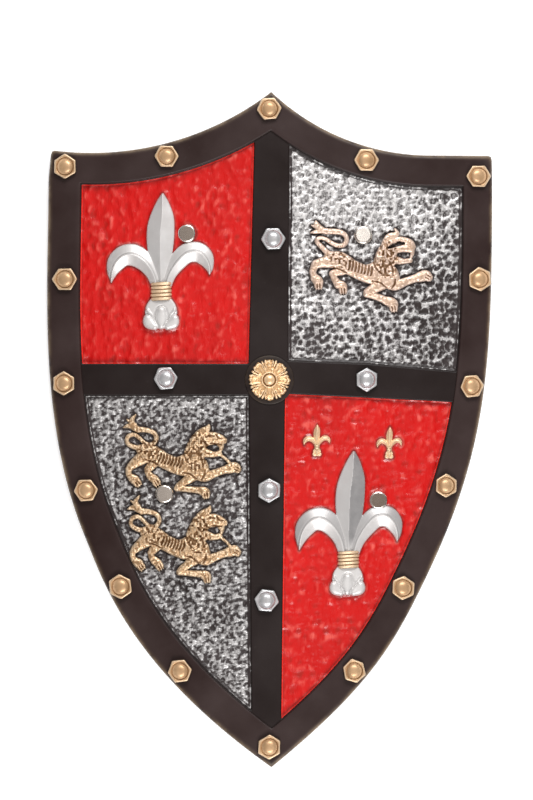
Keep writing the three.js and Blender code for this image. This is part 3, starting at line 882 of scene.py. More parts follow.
# %% The lily's rolls
LILIES = [
    dict(name="left", x=-75.9, y=96.6, tall=1.0, wide=1.0, low=0.95, slant=0.0),
    dict(name="right", x=55.0, y=-90.9, tall=1.11, wide=0.99, low=0.80, slant=0.037),
    dict(name="small_left", x=33.0, y=-12.2, tall=0.23, wide=0.257, low=1.0, slant=0.0),
    dict(name="small_right", x=83.6, y=-13.9, tall=0.23, wide=0.24, low=1.0, slant=0.02),
]
LEAVES = [
    [(-34.9, 6.2, 0.3), (-34.0, 14, 3.8), (-31.2, 20.4, 6.4), (-26, 24.8, 7.2),
     (-19, 25.2, 7.6), (-11.8, 20.8, 6.6), (-6.2, 13.2, 5.0), (-3.2, 4, 3.6)],
    [(33.9, 11.6, 0.3), (33.6, 17, 2.9), (30.8, 23.4, 5.8), (25.6, 27.2, 7.0),
     (18, 26.4, 6.9), (11.4, 20.4, 6.2), (6.4, 12.4, 4.6), (3.6, 4, 3.6)],
    [(1.1, 67.2, 1.2), (1.0, 60, 4.9), (0.6, 51, 8.3), (-0.3, 43, 9.6), (-0.6, 33, 9.3),
     (-0.5, 20, 7.0), (-0.1, 8, 3.6), (0, 2, 2.6)],
]
FOOT_BASE = [(0, -5, 5.7), (0, -8, 6.6), (0, -12.5, 10.0), (0, -15.6, 11.6), (0, -16.6, 10.4)]
MIDDLE_LOBE = [(0, -14.4, 3.4), (0, -19, 4.6), (0, -24.4, 3.6)]
LEFT_LOBE = [(-9.4, -20.4, 3.2), (-8.4, -23.2, 4.2), (-4.6, -26.0, 2.6)]
LEFT_RIDGE = [(-9.6, -13.6, 1.0), (-6.6, -18.0, 1.3), (-4.4, -25.4, 0.9)]
FOOT_LOBES = [MIDDLE_LOBE, LEFT_LOBE, [(-x, y, half) for x, y, half in LEFT_LOBE]]
FOOT_RIDGES = [LEFT_RIDGE, [(-x, y, half) for x, y, half in LEFT_RIDGE]]
LARGEST_SMALL_LILY = 0.5
SMALL_LILY_THICKNESS = 0.42


def placed(stations, lily):
    """Stations of a drawing 100 mm tall, moved and scaled to one lily."""
    grow = math.sqrt(lily["wide"] * lily["tall"])
    moved = []
    for sx, sy, half in stations:
        height = sy * lily["tall"] * (lily["low"] if sy < 0 else 1.0)
        across = sx * lily["wide"] + lily["slant"] * height
        shrink = 0.5 + 0.5 * lily["low"] if sy < -8 else 1.0
        moved.append((lily["x"] + across, lily["y"] + height, half * grow * shrink))
    return moved

# %% [markdown]
# Each lily is built on its own fine grid. The outer leaves get a groove beside the curl, the
# middle leaf is laid over them, and the foot comes last. The facet of each leaf that turns from
# the light, and the outer side of each curled leaf, get a painted shade, strongest on the right
# lily.

# %% Lilies


def lily_relief(lily):
    grow = math.sqrt(lily["wide"] * lily["tall"])
    small = lily["tall"] < LARGEST_SMALL_LILY
    thick = SMALL_LILY_THICKNESS if small else 1.0
    # How strong the painted shade on the leaves is, strongest on the right lily.
    tan_and_shade = 1.0 if lily["name"] == "right" else 0.22
    cell = 0.2 if small else 0.42
    across = np.arange(-40, 40, cell / lily["wide"]) * lily["wide"] + lily["x"]
    up = np.arange(-31, 71, cell / lily["tall"]) * lily["tall"] + lily["y"]
    x, y = np.meshgrid(across, up)
    edge = np.full(x.shape, 50.0)
    height = np.zeros(x.shape)
    groove = np.zeros(x.shape)
    painted_shade = np.zeros(x.shape)
    for number, leaf in enumerate(LEAVES):
        out, share, side, half = roll_field(x, y, smooth_line(placed(leaf, lily), 7))
        share = np.clip(share, 0, 1)
        rise = (0.9 + (1 - share) * (1.2 + 0.38 * half / grow)) * thick
        if number < 2:
            outer = side if number == 0 else -side
            line = np.exp(-((outer / grow - 1.0) / 0.42) ** 2) * (share < 0.9)
            rise = rise - 0.5 * line * thick
            groove = np.maximum(groove, 0.55 * line * (out < 0))
            painted_shade = np.where(out < 0, 0.45 * tan_and_shade * step(0.2, 1.6, outer / grow), painted_shade)
        else:
            shaded = side > 0 if lily["name"] == "right" else side < 0
            face = np.where(shaded, 0.75, 0.2) * step(6, 16, (y - lily["y"]) / grow)
            painted_shade = np.where((out < 0) & (rise > height), tan_and_shade * face, painted_shade)
            groove = groove * (1 - (rise > height) * (out < 0))
        height = laid_over(height, rise, out)
        edge = np.minimum(edge, out)
    out, share = roll_field(x, y, smooth_line(placed(FOOT_BASE, lily), 6))[:2]
    height = laid_over(height, (1.5 + 0.7 * rounded(share)) * thick, out)
    edge = np.minimum(edge, out)
    for ridge in FOOT_RIDGES:
        out, share = roll_field(x, y, placed(ridge, lily))[:2]
        height = laid_over(height, (1.9 + 1.1 * rounded(share)) * thick, out)
    for lobe in FOOT_LOBES:
        out, share = roll_field(x, y, smooth_line(placed(lobe, lily), 6))[:2]
        rise = (1.3 + 2.6 * rounded(share)) * thick
        ditch = np.exp(-((out / grow - 0.5) / 0.5) ** 2)
        groove = np.maximum(groove, 0.35 * ditch)
        height = np.where(out < 0, rise, height - 0.4 * ditch * thick)
        groove = np.where(out < 0, 0.0, groove)
        edge = np.minimum(edge, out)
    nearby = blurred(height, 3)
    numbers = {
        "pit": np.clip(groove, 0, 1) * (0.5 if small else 1.0),
        "high": np.clip(step(0.1, 0.6, height - nearby) + 0.6 * small, 0, 1),
        "painted_shade": painted_shade,
    }
    finish = small_gold if small else lily_silver
    return relief("lily_" + lily["name"], x, y, edge, height, finish, PANEL_HEIGHT,
                  numbers)

# %% [markdown]
# The cords are half a tube whose width swells and narrows, one swell for every cord. Brown wash
# stays in the narrow places between them.

# %% Cords round the lilies


def lily_band(lily):
    """Five cords wound round the neck of a lily, or three round a small one."""
    rows = []
    pit = []
    small = lily["tall"] < LARGEST_SMALL_LILY
    thick = SMALL_LILY_THICKNESS if small else 1.0
    cords = 3 if small else 5
    steps = 8 * cords
    across = 15
    sunk = 0.4
    angles = np.linspace(0, math.pi, across)
    skew = 0.35 * np.cos(angles) * lily["tall"]
    rng = np.random.default_rng(int(lily["x"]) + 100)
    reach = 7.7 + rng.uniform(-0.35, 0.35, cords)
    for k in range(steps + 1):
        along = k / steps
        cord = min(int(along * cords), cords - 1)
        swell = abs(math.sin(math.pi * along * cords))
        y = (6.8 - 13.6 * along) * lily["low"]
        half = (reach[cord] - 0.7 + 0.7 * swell) * lily["wide"]
        top = (3.1 + 1.5 * math.sqrt(swell)) * thick
        rows.append(np.column_stack([
            lily["x"] + half * np.cos(angles),
            lily["y"] + y * lily["tall"] + skew,
            PANEL_HEIGHT - sunk + (top + sunk) * np.sin(angles) ** 0.6,
        ]))
        pit.append(np.full(across, (1 - swell) ** 1.5 * 0.6))
    points = np.vstack(rows)
    ends = [tuple(range(across)), tuple(range(len(points) - across, len(points)))[::-1]]
    faces = strip_faces(len(rows), across, False) + ends
    pit = np.concatenate(pit)
    numbers = {"pit": pit, "high": 0.7 * (1 - pit)}
    return make_piece("lily_cords_" + lily["name"], to_metres(points), faces, bolt_gold,
                      numbers)


for lily in LILIES:
    lily_relief(lily)
    lily_band(lily)

# %% [markdown]
# The walking lions are the busiest relief. Every limb is one roll, thick ones for the body and
# thin ones for the tail, listed like the lily's leaves by place across, place up and half
# width. The pale lion of the upper panel is the same beast drawn a little looser, so its list
# only holds the limbs that differ.

# %% The lions' limbs
LION = {
    "tail": [(-27.6, 5.6, 2.0), (-33.0, 6.4, 1.7), (-37.4, 9.4, 1.6), (-36.8, 13.6, 1.6),
             (-32.4, 15.2, 1.5), (-28.4, 12.6, 1.4), (-24.6, 9.0, 1.5), (-19.6, 8.0, 1.7),
             (-16.4, 11.6, 1.7), (-17.6, 16.0, 1.7), (-22.8, 18.4, 1.8), (-30.0, 19.0, 2.2)],
    "tuft": [(-29.4, 18.8, 2.2), (-33.2, 21.6, 2.7), (-34.0, 25.6, 1.9), (-31.2, 29.8, 0.5)],
    "tuft_low": [(-31, 20.0, 2.0), (-35.8, 21.6, 1.9), (-40.0, 20.4, 0.5)],
    "tuft_mid": [(-32, 22, 2.0), (-37.6, 26.2, 0.6)],
    "haunch": [(-28, 4.6, 3.2), (-25.5, 3.4, 5.0), (-20.3, 1.6, 6.5), (-14.0, -1.6, 6.0)],
    "trunk": [(-20, 0.6, 6.0), (-12.3, -2.9, 5.7), (-3, -6.9, 6.1), (4, -7.4, 7.7),
              (8.6, -6.6, 8.8), (13.5, -8.6, 8.0)],
    "chest": [(9, -8.0, 7.8), (15, -10.4, 6.8), (18.6, -13.2, 3.8)],
    "mane": [(10.2, -6, 7.0), (11.4, 1, 7.8), (13.6, 8.0, 6.8), (15.6, 12.6, 4.8)],
    "crest": [(10.8, 9, 3.4), (13.8, 14.6, 3.0), (17.6, 17.8, 2.7), (20.6, 19.4, 2.2),
              (21.8, 22.2, 0.8)],
    "head": [(14, 9.6, 6.6), (19.6, 12.0, 5.2), (25.0, 12.6, 4.6), (29.4, 11.8, 3.7),
             (32.6, 10.8, 2.4)],
    "lip": [(29.8, 9.4, 3.0), (30.8, 6.4, 1.8), (30.2, 4.0, 1.3)],
    "jaw": [(15.6, 3.4, 4.0), (20.2, 1.8, 3.1), (24.6, 0.9, 2.2), (29.4, 1.4, 1.9)],
    "raised_leg": [(15.6, -14.2, 4.4), (19.5, -15.2, 3.8), (25.9, -13.0, 2.9),
                   (32.0, -10.8, 2.8), (36.0, -9.8, 3.3)],
    "raised_paw": [(36.0, -9.6, 3.6), (40.0, -8.6, 3.9), (42.2, -9.8, 3.0)],
    "near_arm": [(13.5, -11.6, 5.2), (9.4, -15.0, 4.2), (4.6, -18.8, 3.0), (0.4, -22.0, 2.6),
                 (-1.4, -24.0, 2.1)],
    "near_wrist": [(-1.6, -23.9, 2.1), (3, -24.2, 2.1), (8.4, -24.7, 2.2),
                   (14.4, -25.2, 2.5), (17.4, -25.8, 3.1)],
    "near_paw": [(16.8, -25.8, 3.1), (19.2, -26.8, 3.5), (19.6, -29.2, 2.3)],
    "thigh": [(-20, 1, 5.4), (-25.6, -1.2, 5.0), (-30.6, -4.6, 3.9), (-34.8, -8.0, 2.9),
              (-36.6, -10.4, 2.2)],
    "shank": [(-36.4, -10.0, 2.2), (-36.2, -13.4, 2.3), (-34.4, -16.2, 2.6)],
    "hind_paw": [(-34.2, -16.2, 2.9), (-31.6, -18.0, 3.4), (-29.6, -20.4, 2.4)],
    "far_thigh": [(-15, -2, 3.6), (-17.9, -4.8, 3.9), (-20.6, -8.0, 3.2), (-22.6, -10.6, 2.4)],
    "far_shank": [(-22.8, -10.2, 2.3), (-22.0, -13.2, 2.4), (-19.8, -16.0, 2.9)],
    "far_paw": [(-19.8, -15.8, 2.9), (-17.2, -17.8, 3.1), (-15.8, -20.2, 2.1)],
    "link": [(28.4, 2.2, 1.4), (31.6, -0.6, 1.1), (35.2, -3.6, 1.1), (37.4, -7.2, 1.6)],
}
LOOSE_LION = {
    **LION,
    "tail": [(-28.6, 7.2, 2.0), (-33.0, 11.6, 1.7), (-36.0, 15.2, 1.6), (-34.0, 17.6, 1.4),
             (-29.6, 16.7, 1.4), (-25.2, 13.8, 1.5), (-20.9, 12.2, 1.6), (-17.1, 12.8, 1.7),
             (-15.2, 16.1, 1.7), (-16.2, 19.6, 1.7), (-19.6, 21.6, 1.9), (-24.6, 22.2, 2.0),
             (-30.2, 22.4, 2.1), (-34.6, 24.2, 2.3)],
    "tuft": [(-33.0, 23.6, 2.2), (-36.0, 26.2, 2.3), (-36.6, 29.2, 0.7)],
    "tuft_low": [(-33, 22.6, 1.9), (-37.4, 21.8, 1.3), (-40.4, 21.2, 0.4)],
    "tuft_mid": [(-34, 24, 2.0), (-39.6, 26.4, 0.5)],
    "crest": [(11.0, 8, 3.4), (12.2, 13.6, 3.0), (14.4, 18.0, 2.6), (17.8, 19.4, 2.3),
              (20.2, 20.6, 1.6), (18.8, 23.8, 0.8)],
    "head": [(17.0, 9.2, 3.6), (21.0, 9.8, 2.6), (25.0, 10.4, 2.7), (29.6, 10.0, 2.6)],
    "brow": [(13.4, 14.4, 1.3), (18.0, 15.8, 1.6), (22.2, 17.0, 1.7), (26.8, 15.4, 2.4),
             (29.6, 13.6, 2.7), (31.0, 11.4, 2.3)],
    "lip": [(30.6, 9.6, 2.0), (30.8, 6.8, 1.4), (30.0, 4.4, 1.1)],
    "jaw": [(15.4, 3.2, 4.2), (20.2, 1.9, 2.9), (24.6, 1.4, 1.9), (29.4, 1.9, 1.7)],
    "near_wrist": [(-1.2, -21.6, 2.4), (3, -22.6, 2.4), (9, -24.6, 2.6), (13.6, -26.8, 3.0)],
    "near_paw": [(13.6, -26.4, 3.2), (17.2, -28.4, 3.7), (17.8, -31.8, 2.3)],
    "near_arm": [(13.5, -11.6, 5.4), (8, -15.2, 4.2), (3, -18.2, 3.4), (-0.6, -20.4, 2.9)],
    "thigh": [(-20, 2, 5.6), (-25.5, 1.4, 4.8), (-31, 0.6, 3.8), (-36.4, -0.6, 3.1)],
    "shank": [(-37.2, -1.4, 2.9), (-38.8, -6, 2.4), (-37.6, -10, 2.6)],
    "hind_paw": [(-37.4, -10.4, 3.1), (-35.0, -13.0, 3.6), (-34.8, -16.2, 2.2)],
    "far_thigh": [(-15, -2, 3.6), (-17.9, -4.6, 3.7), (-22, -6.2, 2.9), (-25.0, -7.4, 2.5)],
    "far_shank": [(-25.0, -7.6, 2.3), (-23.4, -11.2, 2.4), (-21.0, -15.0, 2.9)],
    "far_paw": [(-21.0, -14.8, 3.0), (-18.0, -16.2, 3.2), (-17.6, -19.4, 2.0)],
    "link": [],
}
LIMBS = {"lion_upper_right": LOOSE_LION, "lion_middle": LION, "lion_lower": LION}
EYE_SLIT = [(14.4, 10.9, 0.9), (18.6, 12.6, 1.4), (24.6, 13.9, 1.0)]
OPEN_MOUTH = [(22.8, 5.7, 1.7), (27.4, 5.6, 1.6)]
SMALL_MOUTH = [(21.6, 5.2, 0.8), (24.6, 5.0, 1.4), (27.8, 4.9, 1.2)]
CREASES = [
    [(-24, -3.4, 0.4), (-19.5, -4.6, 0.5), (-15.5, -6.6, 0.4)],
    [(3.0, -12.6, 0.4), (8.0, -13.6, 0.6), (12.6, -17.0, 0.4)],
    [(18.8, -11.0, 0.3), (18.4, -14.4, 0.6), (16.4, -17.6, 0.4)],
    [(3.6, 0.6, 0.3), (5.6, -4.0, 0.5), (9.4, -7.4, 0.3)],
    [(14.6, 1.6, 0.4), (16.6, -2.6, 0.6), (17.2, -6.4, 0.4)],
    [(12.4, 7.6, 0.3), (15.4, 4.6, 0.6), (17.6, 6.6, 0.3)],
]
FACE_LINES = [
    [(19.6, 13.4, 0.5), (22.4, 14.4, 0.8), (25.4, 14.0, 0.4)],
    [(26.6, 15.6, 0.3), (28.8, 12.6, 0.5), (32.0, 12.4, 0.3)],
    [(16.4, 13.0, 0.3), (19.0, 9.0, 0.6), (21.0, 7.6, 0.3)],
    [(23.0, 9.0, 0.3), (27.0, 8.4, 0.5), (30.4, 8.2, 0.3)],
]
TOES = ["raised_paw", "near_paw", "hind_paw", "far_paw"]


def lion_gap(x, y, place, limbs):
    """Distance outside a lion's outline, taken from its limbs without the fine detail."""
    middle_x, middle_y, wide, tall = place
    gap = np.full(x.shape, 40.0)
    near = (np.abs(x - middle_x) < 52) & (np.abs(y - middle_y) < 42)
    px, py = (x[near] - middle_x) / wide, (y[near] - middle_y) / tall
    best = gap[near]
    for stations in limbs.values():
        if stations:
            best = np.minimum(best, roll_field(px, py, stations)[0] * wide)
    gap[near] = best
    return gap

# %% [markdown]
# The limbs are laid over each other and blended where they meet. Cuts are then pressed in for
# the eye hollow, the open mouth, the ribs, the toes and the locks of the mane. Where the surface
# lies lower than its surroundings the brown wash gathers, where it stands higher the gold is
# rubbed bright, and on the tallest parts a pale painted highlight is added.

# %% The lions
RIBS = 8


def pressed(grooves, x, y, line, depth, edge, full):
    """The grooves with one more cut in them, which is deepest on its own line."""
    return np.maximum(grooves, depth * step(edge, full, roll_field(x, y, line)[0]))


def lion_relief(name, place, limbs, seed):
    cell = 0.32
    x, y = np.meshgrid(np.arange(-43, 48, cell), np.arange(-36, 32, cell))
    edge = np.full(x.shape, 50.0)
    height = np.zeros(x.shape)
    shoulder = np.zeros(x.shape)
    for part, stations in limbs.items():
        if not stations:
            continue
        out, share, _, half = roll_field(x, y, smooth_line(stations, 5))
        rise = 0.75 + (0.6 + 0.36 * np.minimum(half, 6.0)) * rounded(share)
        if part.startswith("far") or part == "link":
            rise -= 0.35
        if part in ("near_arm", "raised_leg", "thigh"):
            rise += 0.3
            over = (out < 0) & (out > -0.5) & (height > rise) & (part != "raised_leg")
            shoulder = np.maximum(shoulder, over * 0.6)
        blend = np.clip(0.5 + 0.5 * (edge - out) / 0.6, 0, 1)
        edge = edge * (1 - blend) + out * blend - 0.3 * blend * (1 - blend)
        height = laid_over(height, rise, out)
    height = blurred(height, 1) * 0.6 + height * 0.4
    loose = not limbs["link"]
    for gap in [EYE_SLIT, OPEN_MOUTH] if loose else [SMALL_MOUTH]:
        edge = np.maximum(edge, -roll_field(x, y, smooth_line(gap, 4))[0])
    grooves = 0.5 * shoulder
    lean = 0.9 if loose else 1.9
    for k in range(RIBS):
        start = (-12.8 + 2.2 * k, 1.7 - 0.6 * k)
        middle = (start[0] - lean * 0.2, start[1] - 3.0)
        end = (start[0] - lean * 1.1, start[1] - 6.4)
        line = [(*start, 0.3), (*middle, 0.62), (*end, 0.3)]
        grooves = pressed(grooves, x, y, smooth_line(line, 4), 1.0, 0.55, -0.3)
    for line in CREASES + ([] if loose else FACE_LINES):
        grooves = pressed(grooves, x, y, smooth_line(line, 4), 0.8, 0.5, -0.4)
    for part in TOES:
        (bx, by, _), (cx, cy, _) = limbs[part][-2:]
        size = max(math.hypot(cx - bx, cy - by), 1e-6)
        ux, uy = (cx - bx) / size, (cy - by) / size
        for offset in (-1.7, 0.0, 1.7):
            sx, sy = cx - uy * offset, cy + ux * offset
            knuckle = [(sx - ux * 1.2, sy - uy * 1.2, 1.5), (sx + ux * 0.3, sy + uy * 0.3, 1.3)]
            claw = [(sx + ux * 0.9, sy + uy * 0.9, 0.75), (sx + ux * 2.5, sy + uy * 2.5, 0.25)]
            for roll, top in ((knuckle, 1.9), (claw, 1.1)):
                out, share = roll_field(x, y, roll)[:2]
                height = laid_over(height, 0.5 + top * rounded(share), out)
                edge = np.minimum(edge, out)
        for offset in (-1.0, 1.0):
            sx, sy = cx - uy * offset, cy + ux * offset
            cleft = [(sx - ux * 1.8, sy - uy * 1.8, 0.2), (sx + ux * 1.0, sy + uy * 1.0, 0.3)]
            grooves = pressed(grooves, x, y, cleft, 0.8, 0.4, -0.25)
    locks = uneven(x + 200, y + 200, 1.45, seed)
    strands = uneven(x + 200, (y + 200) * 0.55, 0.85, seed + 1)
    fine = uneven(x + 200, y + 200, 0.75, seed + 2)
    neck = step(10.5, 6.0, np.hypot(x - 12.8, (y - 2.5) * 0.66))
    rump = step(10, 4, np.hypot((x + 19) * 0.8, y - 4.0))
    flank = 0.25 if loose else 0.5
    busy = np.clip(neck + 0.8 * rump + flank, 0, 1)
    pits = np.clip(step(0.55, 0.25, locks) + 0.6 * step(0.42, 0.15, strands), 0, 1) * busy
    height = height - 0.75 * pits - 1.0 * grooves - 0.3 * (fine - 0.5)
    height += 0.5 * step(0.6, 0.9, locks) * neck
    height = np.maximum(height, 0.3)
    dip = blurred(height, 3) - height
    pit = 0.75 * step(0.05, 0.55, dip) + 0.8 * grooves + 0.7 * pits
    pit += 0.45 * step(0.55, 0.25, fine) * busy
    rubbed_and_highlit = step(0.0, 0.4, -dip) * (1 - np.clip(pits * 1.4, 0, 1))
    rubbed_and_highlit = np.maximum(rubbed_and_highlit, 0.9 * step(-1.3, -0.2, edge) * (grooves < 0.3))
    # Painted highlight: the tallest parts of the body are made pale gold.
    rubbed_and_highlit = np.maximum(rubbed_and_highlit, 0.75 * step(2.7, 3.9, height) * (1 - busy * 0.6))
    numbers = {"pit": np.clip(pit, 0, 1), "high": np.clip(rubbed_and_highlit, 0, 1)}
    middle_x, middle_y, wide, tall = place
    finish = pale_gold if loose else lion_gold
    return relief(name, x * wide + middle_x, y * tall + middle_y, edge, height, finish,
                  PANEL_HEIGHT, numbers)


for number, (lion_name, place) in enumerate(LIONS.items()):
    lion_relief(lion_name, place, LIMBS[lion_name], 60 + 10 * number)

# %% [markdown]
# Red paint went on wet and thick over the foam, so it is glossy and pools in the dishes. A thin
# brown wash was wiped over it and stays in the hollows. Pale pink streaks on the raised parts of
# the dishes are painted highlights. The gloss comes from a clear coat, and a faint mottling keeps
# the red from being one flat colour. Along the rolled edge the red runs up to the wall as a thin
# bright line, brightened as a painted highlight, with a painted shade line inside it at the
# crease.

# %% Red paint


def red_paint(name, streak_turn):
    r = Recipe(name)
    cloud = r.noise(30, 5, 0.6)
    streak = r.noise(150, 4, 0.65, (1.0, 0.33, 1.0), streak_turn)
    fine = r.noise(1400, 2, 0.5)
    colour = r.patchy(cloud, (0.46, 0.0025, 0.002, 1), (0.56, 0.004, 0.0035, 1))
    wash = r.maths("MULTIPLY", r.number("pit"), r.spread(streak, 0.42, 0.6))
    colour = r.mix(r.maths("MULTIPLY", wash, 0.6), colour, (0.24, 0.012, 0.006, 1))
    # Painted highlight: pale pink streaks on the raised parts of the dishes.
    painted_highlight = r.maths("MULTIPLY", r.number("high"), r.spread(streak, 0.44, 0.62, 0.0, 0.75))
    colour = r.mix(painted_highlight, colour, (0.74, 0.12, 0.095, 1))
    edge = r.maths("MULTIPLY", r.number("near"), 0.75)
    colour = r.mix(r.maths("MULTIPLY", edge, r.spread(cloud, 0.3, 0.55)), colour,
                   (0.10, 0.007, 0.006, 1))
    # Painted shade in the crease at the foot of the wall, then a bright line where the red runs
    # up to the wall, made brighter as a painted highlight.
    wall = r.number("from_wall")
    colour = r.mix(r.spread(wall, 1.1, 2.2, 0.45, 0.0), colour, (0.16, 0.006, 0.005, 1))
    colour = r.mix(r.spread(wall, 0.5, 1.1, 0.9, 0.0), colour, (0.86, 0.022, 0.012, 1))
    rough = r.spread(streak, 0.3, 0.7, 0.26, 0.40)
    normal = r.bump(fine, 0.08, 0.1)
    normal = r.bump(streak, 0.9, 1.6, normal)
    return r.finish(colour, rough, normal, Specular_IOR_Level=0.3, Coat_Weight=0.55,
                    Coat_Roughness=0.17)

# %% [markdown]
# On the red panels the blows are broad and soft. In the upper panel they lean upright, in the
# lower one they run sideways, which shows in the way the highlights break up.

# %% Red panels


def soft_panel(name, spacing, seed, stretch, turn, emblems):
    loop = PANELS[name]
    x, y = grid_over(loop, 0.72)
    beaten = hammered(x, y, spacing, spacing * 0.62, 1.1, seed, stretch, turn, 0.35)
    beaten = blurred(beaten, 1)
    beaten += 0.8 * (uneven(x + 300, y + 300, 15, seed + 1) - 0.5)
    beaten += 0.45 * (uneven(x + 300, y + 300, 3.0, seed + 2) - 0.5)
    around = blurred(beaten, 4)
    gap = np.full(x.shape, 30.0)
    for lily in emblems:
        for part in LEAVES + [FOOT_BASE] + FOOT_LOBES:
            gap = np.minimum(gap, roll_field(x, y, placed(part, lily))[0])
    cap = CAPS[name]
    gap = np.minimum(gap, np.hypot(x - cap[0], y - cap[1]) - 5.6)
    beaten = beaten * step(-1.0, 3.0, gap)
    numbers = {
        "pit": step(0.0, 0.4, around - beaten),
        "high": step(0.0, 0.4, beaten - around),
        "near": step(2.2, 0.2, gap),
    }
    finish = red_paint("red_paint_" + name, turn)
    return panel("red_panel_" + name, loop, x, y, beaten, finish, numbers)


soft_panel("upper_left", 7.0, 11, 1.5, 1.35, LILIES[:1])
soft_panel("lower_right", 6.8, 23, 1.7, 0.25, LILIES[1:])

# %% [markdown]
# The other two panels are left black and then rubbed with silver on a nearly dry brush. The
# brush covers the ridges, misses the dishes, and thins out where the painter's hand was light
# or where an emblem was in the way.

# %% Silver brushed over black


def silver_over_black(name, streak_turn, bright):
    r = Recipe(name)
    cloud = r.noise(26, 4, 0.6)
    bristle = r.noise(420, 5, 0.75, (1.0, 0.3, 1.0), streak_turn)
    grain = r.noise(1000, 3, 0.7)
    ragged = r.maths("ADD", r.number("cover"), r.spread(bristle, 0.3, 0.7, -0.36, 0.36))
    ragged = r.maths("ADD", ragged, r.spread(grain, 0.3, 0.7, -0.26, 0.26))
    laid = r.spread(ragged, 0.02, 1.05)
    dark = r.patchy(cloud, (0.017, 0.0115, 0.011, 1), (0.045, 0.036, 0.036, 1))
    light = r.patchy(grain, (0.58 * bright, 0.56 * bright, 0.555 * bright, 1),
                     (0.93 * bright, 0.915 * bright, 0.91 * bright, 1))
    colour = r.mix(laid, dark, light)
    rough = r.spread(laid, 0.0, 1.0, 0.42, 0.34)
    metal = r.maths("MULTIPLY", laid, 0.4)
    normal = r.bump(grain, 0.2, 0.12)
    normal = r.bump(laid, 0.45, 0.15, normal)
    return r.finish(colour, rough, normal, metal, Specular_IOR_Level=0.35)

# %% [markdown]
# The silver varies across each panel. The upper panel is brighter towards its top left, a painted
# highlight laid in as more silver, and fades towards its outer corner; the lower one is patchy
# and a little brighter towards its top and right. Both keep a dark halo round each lion and
# rivet, and a broken bright line on the rolled edge.

# %% Silver panels


def brushed_upper(x, y, relief_part, gap):
    """How much silver the upper right panel takes, from 0 to about 1."""
    # Painted highlight: more silver towards the top left of the panel, where the light falls.
    place = x * 0.5 + (125 - y) + 46 * (uneven(x, y + 300, 24, 7) - 0.5)
    bright = step(104, 14, place)
    cover = 0.25 + 0.34 * bright + (0.52 + 0.12 * bright) * relief_part
    cover -= 0.22 * step(96, 126, x + 12 * uneven(x, y + 300, 9, 10))
    cover += (0.06 + 0.42 * bright) * step(-0.72, -1.0, relief_part)
    strokes = step(0.5, 0.75, uneven((x + 50) * 1.6, y * 0.3 + 100, 5, 9))
    cover -= 0.4 * strokes * step(88, 66, y) * step(52, 24, x)
    return cover - 0.3 * step(7, 0, gap)


def brushed_lower(x, y, relief_part, gap):
    """How much silver the lower left panel takes."""
    patch = uneven(x + 300, y + 300, 15, 8)
    top = step(6, 22, y)
    right = step(-30, -16, x)
    cover = 0.27 + 0.30 * (patch - 0.5) + 0.50 * relief_part + 0.2 * top + 0.14 * right
    return cover - 0.2 * step(9, 0, gap) * step(-110, -60, y)


def brushed_panel(name, spacing, size, depth, seed, stretch, turn, coverage, brush_turn,
                  bright, scribble):
    loop = PANELS[name]
    x, y = grid_over(loop, 0.58)
    beaten = hammered(x, y, spacing, spacing * size, depth, seed, stretch, turn, 0.5, 1.4)
    wave = uneven(x + 300, y + 300, 19, seed + 1) - 0.5
    rough = uneven(x + 300, y + 300, 1.7, seed + 2) - 0.5
    rough += 0.8 * (uneven((x + 300) * 0.45 + y * 0.2, y + 300 - x * 0.2, 1.1, seed + 3) - 0.5)
    beaten += scribble * rough
    around = blurred(beaten, 5)
    relief_part = np.clip((beaten - around) / 0.42, -1.0, 1.0)
    gap = np.full(x.shape, 40.0)
    for lion, place in LIONS.items():
        gap = np.minimum(gap, lion_gap(x, y, place, LIMBS[lion]))
    cover = coverage(x, y, relief_part, gap)
    cover -= 0.75 * step(1.7, 0.0, gap)
    for cx, cy in CAPS.values():
        cover -= 0.35 * step(11.5, 6.5, np.hypot(x - cx, y - cy))
    wall = -edge_over(x, y, loop)
    broken = uneven(x + 300, y + 300, 9, seed + 4)
    line = np.exp(-((wall - 0.75) / 0.4) ** 2) * step(0.2, 0.6, broken)
    cover = cover + 1.5 * line - 1.1 * step(2.6, 1.7, wall)
    beaten = beaten * step(0.6, 3.0, wall) + 0.9 * wave + 0.3 * line
    numbers = {"cover": np.clip(cover, -0.5, 1.4)}
    finish = silver_over_black("silver_over_black_" + name, brush_turn, bright)
    return panel("silver_panel_" + name, loop, x, y, beaten, finish, numbers)


brushed_panel("upper_right", 4.5, 0.62, 1.2, 31, 1.2, 0.5, brushed_upper, 0.8, 1.0, 0.3)
brushed_panel("lower_left", 4.2, 0.62, 0.8, 43, 1.6, 0.6, brushed_lower, -0.6, 0.8, 0.95)

# %% [markdown]
# Bolt heads hold the bands on a real shield; here they are part of the foam. Each is a low
# six-sided nut with a domed cap in a ring-shaped groove. The painter dabbed only the top, so the
# sides stay black, and no two are exactly alike. A bolt is listed by its centre and how many
# degrees it is turned. A ring of the nut is listed by its share of the corner radius, how round
# it is, how high it stands and how much paint it took.

